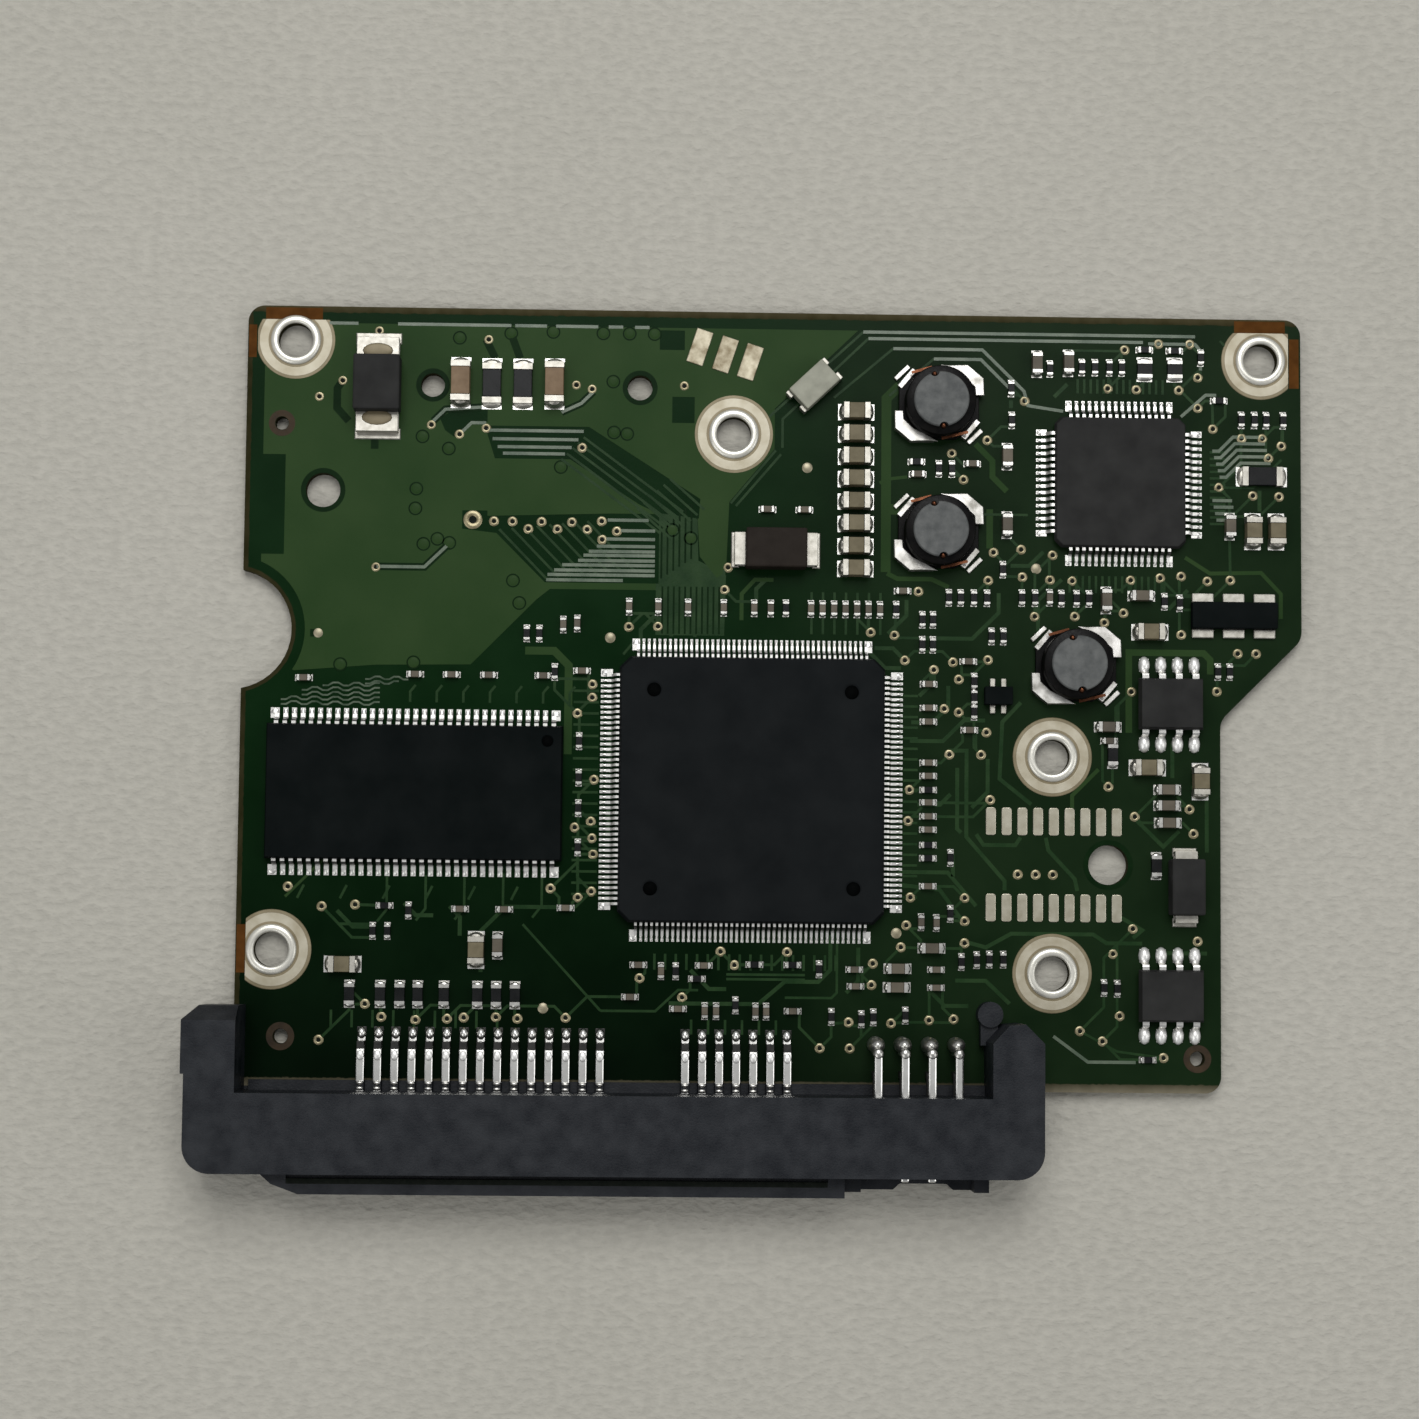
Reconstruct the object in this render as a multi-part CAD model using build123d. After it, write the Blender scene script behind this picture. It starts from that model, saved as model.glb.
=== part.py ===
from build123d import *
import os

# ---------------------------------------------------------------- driving dimensions (mm)
BOARD_T = 1.0                     # laminate thickness, underside at z = 0
TOP = BOARD_T                     # component face
EDGE_L, EDGE_R = -3.12, 77.08     # left and right edges
EDGE_B, EDGE_T = -10.08, 48.78    # connector edge and far edge
EDGE_LOW_R = 70.85                # right edge beside the connector, below the chamfer
CHAMFER_Y = 24.2                  # where the 45 degree corner leaves the right edge
CORNER_R = 1.25
CHAMFER_R = 1.5
NOTCH_X, NOTCH_Y, NOTCH_R = -3.95, 24.1, 4.55

DATUM = (-0.45, 0.05)             # place of the datum mounting hole on the layout grid
MOUNT_HOLES = [DATUM, (0.5, 46.15), (74.0, 45.6), (33.8, 39.4), (58.1, 15.1), (58.1, -1.2)]
MOUNT_R = 1.3
LAND_R, LAND_T = 3.0, 0.05
RING_R, RING_T = 1.88, 0.25
LAND_EDGE, LAND_EDGE_R, LAND_EDGE_T = 0.75, 0.95, 1.05    # lands are cut this far from the edges
LOCATING_HOLES = [(2.77, 34.71, 1.3), (10.93, 42.85, 0.9), (26.64, 42.85, 0.95), (62.33, 6.99, 1.5)]
TOOLING_HOLES = [(-0.43, 39.78, 0.5), (0.35, -6.4, 0.55), (69.05, -7.5, 0.55)]

# chip packages: body length, body width, body height, gap below the body
CONTROLLER = dict(at=(35.35, 12.3), size=(20.0, 20.0, 1.4), pitch=0.4, rows=44, lead=(0.17, 1.0))
MEMORY = dict(at=(10.05, 11.9), size=(22.22, 10.16, 1.0), pitch=0.65, rows=33, lead=(0.3, 0.8))
MOTOR = dict(at=(63.15, 35.98), size=(10.0, 10.0, 1.0), pitch=0.5, rows=16, lead=(0.22, 1.0))
SO8_AT = [(66.95, 19.15), (66.95, -2.8)]
SO8 = dict(size=(4.9, 3.9, 1.5), pitch=1.27, rows=4, lead=(0.42, 1.05))
STANDOFF = 0.1
LEAD_T = 0.15

# board edge connector
PIN_PITCH = 1.27
ROW_X = 22.3                      # middle of the whole contact row
POWER_N, SIGNAL_N = 15, 7
ROW_GAP = 5 * PIN_PITCH           # last power contact to first signal contact
FIRST_X = ROW_X - ((POWER_N - 1 + SIGNAL_N - 1) * PIN_PITCH + ROW_GAP) / 2
LAST_X = 2 * ROW_X - FIRST_X
JUMPER_X = LAST_X + 9.625         # middle of the jumper block
JUMPER_PITCH = 2.0
JUMPER_T = 0.5
JUMPER_ZS = (2.3, 4.3)
SLAB_REAR, SLAB_FRONT = -10.35, -16.2
SLAB_Z = 7.0
LEDGE_Z = 5.2                     # top of the shroud wall over the tongues
SHROUD_Z = 4.4                    # its underside
TONGUE_Z, TONGUE_T = 2.2, 1.2     # underside of the tongues, where the contacts lie
TONGUE_FRONT = -16.9
TONGUE_SIDE = 1.4                 # tongue end beyond the middle of its last contact
KEY_H, KEY_W = 1.0, 0.95
LEDGE_FRONT = -17.75
LEDGE_GROOVE, LEDGE_GROOVE_D = 0.4, 0.45      # slot that parts the ledge from the slab, and its depth
WALL_FRONT = -11.6                # front face of the connector's rear wall
HOUSE_L = FIRST_X - 12.375
ARM_IN_L = HOUSE_L + 3.7          # inner faces of the two arms
ARM_IN_R = JUMPER_X + 5.2
HOUSE_R = ARM_IN_R + 3.8
ARM_STEP = 0.25
ARM_REAR_L, ARM_REAR_R = -4.05, -4.9
MATE_END = 2.9                    # mating space beyond the middle of its last contact
RECESS_HALF = 4.2                 # half the width of the jumper recess
RECESS_FLOOR, RECESS_TOP = 0.9, 5.8
TAIL_BEND = -7.05
TAIL_FOOT = -5.8
PIN_T = 0.25
PIN_W = 0.6

# head contact pads, two rows
HEAD_PITCH, HEAD_N = 1.19, 9
HEAD_X0, HEAD_ROWS = 53.45, (10.2, 3.7)
HEAD_SIZE = (0.85, 2.1)

# chip bodies by case size: length, width, end length
CASES = {"0402": (1.0, 0.5, 0.25), "0603": (1.6, 0.8, 0.35), "0805": (2.05, 1.25, 0.45),
         "1206": (3.1, 1.5, 0.5)}


# ---------------------------------------------------------------- helpers
def box(x0, y0, x1, y1, z0, z1):
    return Pos((x0 + x1) / 2, (y0 + y1) / 2, (z0 + z1) / 2) * Box(abs(x1 - x0), abs(y1 - y0), z1 - z0)


def block(cx, cy, lx, ly, z0, z1):
    return box(cx - lx / 2, cy - ly / 2, cx + lx / 2, cy + ly / 2, z0, z1)


def disc(x, y, r, z0, z1):
    return Pos(x, y, (z0 + z1) / 2) * Cylinder(r, z1 - z0)


def prism(points, z0, z1):
    face = make_face(Polyline(*points, close=True))
    return Pos(0, 0, z0) * extrude(face, amount=z1 - z0, dir=(0, 0, 1))


def side_prism(points_yz, x0, x1):
    face = make_face(Polyline(*[(x0, y, z) for y, z in points_yz], close=True))
    return extrude(face, amount=x1 - x0, dir=(1, 0, 0))


def group(shapes):
    return Compound([s for shape in shapes for s in shape.solids()])


def save(shape, name):
    moved = [Pos(-DATUM[0], -DATUM[1], 0) * s for s in shape.solids()]
    export_step(moved[0] if len(moved) == 1 else Compound(moved), "parts/" + name + ".step")


# ---------------------------------------------------------------- board
def board_outline():
    low = EDGE_R - EDGE_LOW_R
    points = [(EDGE_L, EDGE_B), (EDGE_LOW_R, EDGE_B), (EDGE_LOW_R, CHAMFER_Y - low),
              (EDGE_R, CHAMFER_Y), (EDGE_R, EDGE_T), (EDGE_L, EDGE_T)]
    return prism(points, 0, BOARD_T)


def upright_edges(shape, x, y):
    return [e for e in shape.edges().filter_by(Axis.Z)
            if abs(e.center().X - x) < 0.05 and abs(e.center().Y - y) < 0.05]


def circuit_board():
    b = board_outline()
    corners = []
    for x, y in [(EDGE_LOW_R, EDGE_B), (EDGE_R, EDGE_T), (EDGE_L, EDGE_T)]:
        corners += upright_edges(b, x, y)
    b = fillet(corners, CORNER_R)
    low = EDGE_R - EDGE_LOW_R
    bends = upright_edges(b, EDGE_LOW_R, CHAMFER_Y - low) + upright_edges(b, EDGE_R, CHAMFER_Y)
    b = fillet(bends, CHAMFER_R)
    b -= disc(NOTCH_X, NOTCH_Y, NOTCH_R, -1, BOARD_T + 1)
    for x, y in MOUNT_HOLES:
        b -= disc(x, y, MOUNT_R, -1, BOARD_T + 1)
    for x, y, r in LOCATING_HOLES + TOOLING_HOLES:
        b -= disc(x, y, r, -1, BOARD_T + 1)
    return b


def mounting_hole_lands():
    """Flat tinned lands, each rising to the lip of its hole, and cut straight beside the board's edges."""
    section = [(MOUNT_R, TOP), (LAND_R, TOP), (RING_R, TOP + LAND_T), (MOUNT_R, TOP + RING_T)]
    face = make_face(Polyline(*[(r, 0, z) for r, z in section], close=True))
    land = revolve(face, Axis.Z)
    keep = box(EDGE_L + LAND_EDGE, EDGE_B, EDGE_R - LAND_EDGE_R, EDGE_T - LAND_EDGE_T, 0, TOP + 1)
    return group((Pos(x, y, 0) * land) & keep for x, y in MOUNT_HOLES)


def head_contact_pads():
    pads = []
    for y in HEAD_ROWS:
        for i in range(HEAD_N):
            pads.append(block(HEAD_X0 + i * HEAD_PITCH, y, *HEAD_SIZE, TOP, TOP + 0.12))
    return group(pads)


def motor_contact_pads():
    pads = []
    for x, y in [(31.15, 46.05), (33.1, 45.5), (35.0, 44.95)]:
        pads.append(Pos(x, y, 0) * Rot(0, 0, -18) * block(0, 0, 1.3, 2.7, TOP, TOP + 0.12))
    return group(pads)


# ---------------------------------------------------------------- leaded chips
def fine_lead(width, reach, h0, h1):
    """One lead along +Y from the package side at y = 0, sloping down to the board."""
    pts = [(0, h0), (0, h1), (reach, TOP + LEAD_T), (reach, TOP)]
    return side_prism(pts, -width / 2, width / 2)


def gull_lead(width, reach, h0, h1):
    """One lead with a level shoulder, a slope and a level foot."""
    pts = [(0, h0), (0, h1), (reach * 0.4, h1), (reach, TOP + LEAD_T), (reach, TOP), (reach * 0.5, TOP)]
    return side_prism(pts, -width / 2, width / 2)


def chip_body(at, size, clip):
    lx, ly, h = size
    z0 = TOP + STANDOFF
    b = block(at[0], at[1], lx, ly, z0, z0 + h)
    if clip:
        b = chamfer(b.edges().filter_by(Axis.Z), clip)
    return b


def lead_rows(at, size, pitch, rows, lead, sides, shape):
    width, reach = lead
    mid = TOP + STANDOFF + size[2] / 2
    made = shape(width, reach, mid - LEAD_T / 2, mid + LEAD_T / 2)
    out = []
    for side in sides:
        half = size[1] / 2 if side in (0, 180) else size[0] / 2
        for i in range(rows):
            s = (i - (rows - 1) / 2) * pitch
            out.append(Pos(at[0], at[1], 0) * Rot(0, 0, side) * Pos(s, half, 0) * made)
    return group(out)


# ---------------------------------------------------------------- connector
def power_xs():
    return [FIRST_X + i * PIN_PITCH for i in range(POWER_N)]


def signal_xs():
    return [LAST_X - i * PIN_PITCH for i in reversed(range(SIGNAL_N))]


def jumper_xs():
    return [JUMPER_X + (i - 1.5) * JUMPER_PITCH for i in range(4)]


def contact(x):
    z1, z0 = TONGUE_Z, TONGUE_Z - PIN_T
    tip = TONGUE_FRONT + 0.4
    pts = [(tip, z1), (TAIL_BEND, z1), (TAIL_BEND, TOP + PIN_T), (TAIL_FOOT, TOP + PIN_T),
           (TAIL_FOOT, TOP), (TAIL_BEND - PIN_T, TOP), (TAIL_BEND - PIN_T, z0), (tip, z0)]
    return side_prism(pts, x - PIN_W / 2, x + PIN_W / 2)


def jumper_pin(x, level, tip, bend):
    z0 = JUMPER_ZS[level] - JUMPER_T / 2
    z1 = z0 + JUMPER_T
    pts = [(tip, z1), (bend, z1), (bend, TOP), (bend - JUMPER_T, TOP), (bend - JUMPER_T, z0), (tip, z0)]
    return side_prism(pts, x - JUMPER_T / 2, x + JUMPER_T / 2)


def jumper_pins():
    pins = []
    for i, x in enumerate(jumper_xs()):
        tip = SLAB_FRONT - 0.4 if i in (1, 2) else SLAB_FRONT + 0.6
        pins.append(jumper_pin(x, 1, tip, -6.9))
        pins.append(jumper_pin(x, 0, tip, -8.6))
    return group(pins)


def housing_slab():
    """The long body along the board's edge, with the rear wall that holds the contacts."""
    slab = box(HOUSE_L, SLAB_FRONT, HOUSE_R, SLAB_REAR, 0, SLAB_Z)
    corners = upright_edges(slab, HOUSE_L, SLAB_FRONT) + upright_edges(slab, HOUSE_R, SLAB_FRONT)
    return fillet(corners, 2.0)


def mating_shroud():
    """The ledge over the tongues, with its rounded outer corner."""
    left = FIRST_X - 7.025
    right = JUMPER_X - RECESS_HALF - 1.3
    plate = [(left, -15), (left, SLAB_FRONT), (left + 0.9, -17.0), (left + 2.9, LEDGE_FRONT),
             (right, LEDGE_FRONT), (right, -15)]
    return prism(plate, 0, LEDGE_Z)


def tongues():
    """Two plates over the contacts, each with its key rib on the outer end."""
    made = []
    for xs, key_at_end in ((power_xs(), False), (signal_xs(), True)):
        x0, x1 = xs[0] - TONGUE_SIDE, xs[-1] + TONGUE_SIDE
        k0 = x1 - KEY_W if key_at_end else x0
        made.append(box(x0, TONGUE_FRONT, x1, WALL_FRONT, TONGUE_Z, TONGUE_Z + TONGUE_T))
        made.append(box(k0, TONGUE_FRONT, k0 + KEY_W, WALL_FRONT, TONGUE_Z - KEY_H, TONGUE_Z))
    return made


def jumper_recess_front():
    """The low floor and the two cheeks that stand out in front of the jumper pins."""
    left, right = JUMPER_X - RECESS_HALF - 1.3, JUMPER_X + RECESS_HALF + 1.1
    front = SLAB_FRONT - 1.2
    floor = [(left, front), (left, -15), (right, -15), (right, front), (right - 2.4, front),
             (right - 2.9, front + 0.45), (right - 6.4, front + 0.45), (right - 6.9, front)]
    made = [prism(floor, 0, RECESS_FLOOR)]
    for x0, x1 in [(left, left + 1.3), (right - 1.1, right)]:
        made.append(box(x0, front, x1, -15, RECESS_FLOOR, 3.6))
    return made


def left_arm():
    """Stands beside the board and laps over its edge; its rear end slopes."""
    slope = [(ARM_REAR_L, TOP), (SLAB_REAR, TOP), (SLAB_REAR, SLAB_Z), (ARM_REAR_L - 1.05, SLAB_Z),
             (ARM_REAR_L, SLAB_Z - 1.6)]
    outside = HOUSE_L - ARM_STEP
    arm = side_prism(slope, outside, ARM_IN_L)
    corner = [(outside - 0.8, ARM_REAR_L + 1.05), (outside - 0.8, ARM_REAR_L - 1.8),
              (outside + 2.15, ARM_REAR_L + 1.05)]
    arm -= prism(corner, -1, SLAB_Z + 2)
    arm += box(outside, ARM_REAR_L - 1.05, EDGE_L, SLAB_REAR, 0, TOP)
    arm -= box(outside - 1, ARM_REAR_L - 4.95, HOUSE_L, SLAB_REAR, -1, SLAB_Z + 2)
    return arm


def right_arm():
    """Stands on the board, with a peg beside it."""
    rear = [(ARM_IN_R, SLAB_REAR), (ARM_IN_R, ARM_REAR_R - 1.4), (ARM_IN_R + 1.2, ARM_REAR_R - 0.1),
            (HOUSE_R - 1.4, ARM_REAR_R), (HOUSE_R, ARM_REAR_R - 1.4), (HOUSE_R, SLAB_REAR)]
    peg_x, peg_y = ARM_IN_R + 0.3, ARM_REAR_R + 0.6
    web = box(peg_x - 0.7, peg_y - 2.3, peg_x + 0.6, peg_y, TOP, TOP + 1.2)
    return [prism(rear, TOP, SLAB_Z), disc(peg_x, peg_y, 0.95, TOP, TOP + 1.6), web]


def connector_housing():
    h = housing_slab() + mating_shroud()
    h -= box(FIRST_X - MATE_END, LEDGE_FRONT - 2, LAST_X + MATE_END, WALL_FRONT, -1, SHROUD_Z)
    h -= box(FIRST_X - 7.4, LEDGE_FRONT - 2, LAST_X + 4.8, SLAB_FRONT, -1, 0.6)
    h -= box(FIRST_X - 5.0, SLAB_FRONT - LEDGE_GROOVE, LAST_X + MATE_END, SLAB_FRONT,
             LEDGE_Z - LEDGE_GROOVE_D, LEDGE_Z + 1)
    for piece in tongues():
        h += piece
    h -= box(JUMPER_X - RECESS_HALF, LEDGE_FRONT - 2, JUMPER_X + RECESS_HALF, WALL_FRONT,
             RECESS_FLOOR, RECESS_TOP)
    for piece in jumper_recess_front():
        h += piece
    h += box(HOUSE_L, SLAB_REAR, HOUSE_R, EDGE_B, 0, TOP)
    h += box(ARM_IN_L + 0.35, SLAB_REAR, ARM_IN_R, SLAB_REAR + 0.75, TOP, TOP + 0.5)
    h += left_arm()
    for piece in right_arm():
        h += piece
    # passages of the contacts and pins through the rear wall
    middle = (SLAB_REAR + WALL_FRONT) / 2
    for x in power_xs() + signal_xs():
        h -= block(x, middle, PIN_W, 6, TONGUE_Z - PIN_T, TONGUE_Z)
    for x in jumper_xs():
        for z in JUMPER_ZS:
            h -= block(x, middle, JUMPER_T, 3, z - JUMPER_T / 2, z + JUMPER_T / 2)
    return h


# ---------------------------------------------------------------- wound inductors
INDUCTORS = [(49.35, 41.85), (49.35, 32.0), (59.8, 22.0)]
CORE_H = 2.9
BASE_Z0, BASE_Z1 = 0.1, 0.6       # underside and top of the core's foot, over the board
FLANGE_R, FLANGE_T = 2.08, 0.5
POST_R, WIND_R = 1.5, 2.75


def inductor_base(z0, z1):
    """The square foot of the core, with its corners cut."""
    long, short, corner = 3.1, 2.75, 1.3
    points = [(-long, -corner), (-corner, -short), (corner, -short), (long, -corner),
              (long, corner), (corner, short), (-corner, short), (-long, corner)]
    return prism(points, z0, z1)


def round_bar(r, z0, z1):
    """A bar with enough flats to pass for round, for the post and the turns of wire on it."""
    return extrude(Pos(0, 0, z0) * RegularPolygon(r, 16), amount=z1 - z0)


def inductor_core(x, y):
    core = inductor_base(TOP + BASE_Z0, TOP + BASE_Z1)
    core += round_bar(POST_R, TOP + BASE_Z1, TOP + CORE_H - FLANGE_T)
    core += disc(0, 0, FLANGE_R, TOP + CORE_H - FLANGE_T, TOP + CORE_H)
    return Pos(x, y, 0) * core


def inductor_winding(x, y):
    z0, z1 = TOP + BASE_Z1, TOP + CORE_H - FLANGE_T
    return Pos(x, y, 0) * (round_bar(WIND_R, z0, z1) - round_bar(POST_R, z0 - 1, z1 + 1))


def inductor_terminals(x, y):
    """Two folded clips on opposite corners, and two strips on the others that the wire ends meet."""
    clip = [(0.55, 2.85), (1.9, 2.2), (2.75, 1.3), (2.75, 0.55), (3.45, 0.55), (3.45, 1.9), (2.85, 2.85)]
    strip = [(-3.25, 1.6), (-2.9, 1.05), (-1.75, 2.35), (-2.3, 2.8)]
    out = []
    for turn in (0, 180):
        for shape, h in ((clip, 1.0), (strip, BASE_Z1)):
            made = prism(shape, TOP, TOP + h) - inductor_base(TOP + BASE_Z0, TOP + BASE_Z1)
            out.append(Pos(x, y, 0) * Rot(0, 0, turn) * made)
    return group(out)


# ---------------------------------------------------------------- moulded diodes
def diode_body(cx, cy, lx, ly, h):
    return block(cx, cy, lx, ly, TOP + 0.12, TOP + h)


def diode_terminals(cx, cy, along, half, reach, width, h, turn):
    """Two bent strips: up the end of the body from a foot on the board."""
    t = 0.2
    pts = [(half, h), (half, h - t), (half + reach - t, h - t), (half + reach - t, TOP + t),
           (half - 0.6, TOP + t), (half - 0.6, TOP), (half + reach, TOP), (half + reach, h)]
    made = side_prism(pts, -width / 2, width / 2)
    cut = block(0, 0, 2 * along, 2 * half, TOP + 0.12, TOP + 9)
    made = made - cut
    return group([Pos(cx, cy, 0) * Rot(0, 0, turn + a) * made for a in (0, 180)])


def shock_sensor():
    cx, cy = 39.85, 43.1
    place = Pos(cx, cy, 0) * Rot(0, 0, 43.5)
    body = place * block(0, 0, 3.4, 2.1, TOP + 0.1, TOP + 1.5)
    ends = []
    for s in (-1, 1):
        for k in (-1, 1):
            ends.append(place * block(s * 1.85, k * 0.75, 0.3, 0.6, TOP, TOP + 1.0))
    return body, group(ends)


def power_array():
    cx, cy = 71.85, 25.95
    body = block(cx, cy, 6.5, 2.0, TOP + 0.05, TOP + 0.95)
    leads = []
    for i in (-1, 0, 1):
        for s in (-1, 1):
            leads.append(block(cx + i * 2.35, cy + s * 1.35, 1.65, 0.7, TOP, TOP + 0.3))
    return body, group(leads)


def switch_chip():
    cx, cy = 53.95, 19.65
    body = block(cx, cy, 2.1, 1.35, TOP + 0.05, TOP + 0.95)
    legs = []
    for i in (-1, 1):
        for s in (-1, 1):
            legs.append(block(cx + i * 0.42, cy + s * 1.0, 0.4, 0.65, TOP, TOP + 0.3))
    return body, group(legs)


# ---------------------------------------------------------------- two-ended chips
def column(x, ys):
    return [(x, y) for y in ys]


def row(xs, y):
    return [(x, y) for x in xs]


def steps(start, step, n):
    return [start + i * step for i in range(n)]


BULK = column(43.1, steps(41.2, -1.714, 8))
CAP_1206 = [(13.05, 43.05, "v"), (20.15, 43.05, "v")]
RES_1206 = [(15.4, 43.0, "v"), (17.75, 43.0, "v")]
SENSE = [(74.05, 36.65, "h")]
CAP_0805 = [(14.85, 0.15, "v"), (69.3, 13.35, "v"), (73.35, 32.45, "v"), (75.15, 32.45, "v"),
            (65.5, 24.65, "h"), (65.3, 14.35, "h"), (4.9, -1.0, "h")]
CAP_0603 = [(56.85, 45.1, "v"), (59.25, 45.2, "v"), (54.6, 37.95, "v"), (54.6, 32.7, "v"),
            (71.6, 32.8, "v"), (62.15, 27.05, "v"), (16.45, 0.5, "v"), (64.85, 27.4, "h"),
            (62.3, 17.4, "h"), (66.8, 12.7, "h"), (66.8, 11.5, "h"), (66.85, 10.2, "h"),
            (49.0, 0.6, "h"), (46.45, -0.95, "h"), (46.4, -2.35, "h")]
RES_0603 = [(x, -3.2, "v") for x in (5.45, 7.75, 9.2, 10.55, 12.5, 15.0, 16.4, 17.8)]
RES_0603 += [(65.95, 6.95, "v"), (62.65, 15.3, "v")]

RES_UP = row([60.3, 61.3, 62.4, 63.35], 44.9) + row([72.5, 73.5, 74.4, 75.7], 41.0)
RES_UP += [(57.85, 44.75), (69.4, 45.75), (54.9, 43.2), (54.95, 40.75), (49.4, 36.95), (50.4, 36.95)]
RES_UP += row([48.2, 49.0], 25.4) + row([48.2, 49.0], 23.5) + row([50.2, 51.1, 52.1, 53.1], 27.1)
RES_UP += row([53.45, 54.35], 24.2) + row([55.75, 56.75, 58.75, 59.9, 60.85], 27.15)
RES_UP += [(46.2, 26.15), (66.6, 27.0), (67.75, 26.9), (54.3, 29.3), (37.85, 26.15)]
RES_UP += column(52.15, [20.75, 19.55, 18.45]) + column(50.4, [7.4, 3.2])
RES_UP += [(51.25, -0.4), (52.4, -0.25), (53.35, -0.2), (54.4, -0.2)]
RES_UP += [(41.5, -4.6), (43.75, -4.75), (44.65, -4.6), (47.05, -4.45), (34.3, -3.8)]
MEMORY_R = MEMORY["at"][0] + MEMORY["size"][0] / 2
RES_UP += column(MEMORY_R + 1.19, [15.9, 13.15, 10.85, 7.9])
RES_UP += row([18.3, 19.25], 24.0) + row([7.1, 8.2], 1.5)
RES_UP += [(20.45, 21.1), (9.75, 3.05), (62.0, -2.25), (63.0, -2.3), (29.8, -1.3), (40.55, -1.05)]
RES_UP += row([70.65, 71.55], 21.7)
RES_FLAT = [(65.1, 46.3), (67.4, 46.25), (70.8, 42.45), (47.7, 37.45), (35.7, -0.75), (38.55, -0.75)]
RES_FLAT += [(31.4, -1.85), (7.95, 3.4), (65.3, -7.6)] + column(48.7, [12.5, 8.35, 7.35])

CAP_UP = row([26.0, 28.2, 30.45, 33.15, 35.45, 36.7], 26.12) + row(steps(39.75, 0.87, 7), 26.12)
CAP_UP += [(57.85, 27.2), (48.2, 2.55), (49.35, 2.5), (28.7, -1.3), (21.05, 24.7), (22.1, 24.8)]
CAP_UP += row([32.0, 32.85, 35.8, 36.6], -4.25)
CAP_FLAT = [(51.95, 37.35), (47.8, 36.5), (36.4, 33.65), (39.2, 33.65), (46.7, 27.55), (51.7, 22.25)]
CAP_FLAT += column(48.7, [20.5, 18.7, 17.65, 14.55, 13.55, 11.55, 10.5, 9.5, 5.25])
CAP_FLAT += [(51.8, 17.05), (43.2, -1.05), (49.35, -1.0), (43.3, -2.3), (49.35, -2.35), (38.6, -4.2)]
CAP_FLAT += [(26.4, -3.25), (30.0, -4.1), (13.6, 3.2), (16.9, 3.2), (21.5, 3.35), (9.95, 20.8)]
CAP_FLAT += [(12.7, 20.8), (15.5, 20.8), (19.6, 20.8), (22.5, 21.2), (1.6, 20.45), (31.9, -0.85)]
CAP_FLAT += [(27.0, -0.85), (62.4, 16.35)]
ARRAYS = [(65.1, 44.8), (67.4, 44.8)]


def turned(x, y, way, shape):
    return Pos(x, y, 0) * Rot(0, 0, 90 if way == "v" else 0) * shape


def chips(places, case, height):
    length, width, end = CASES[case]
    body = block(0, 0, length - 2 * end, width - 0.04, TOP, TOP + height - 0.02)
    tip = block(length / 2 - end / 2, 0, end, width, TOP, TOP + height)
    other = block(end / 2 - length / 2, 0, end, width, TOP, TOP + height)
    bodies = [turned(x, y, way, body) for x, y, way in places]
    ends = [turned(x, y, way, e) for x, y, way in places for e in (tip, other)]
    return bodies, ends


def whole_chips(places, case, height):
    """The smallest chips, each one solid with its end caps."""
    length, width, _ = CASES[case]
    made = block(0, 0, length, width, TOP, TOP + height)
    return [turned(x, y, way, made) for x, y, way in places]


def facing(up, flat):
    return [(x, y, "v") for x, y in up] + [(x, y, "h") for x, y in flat]


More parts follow.
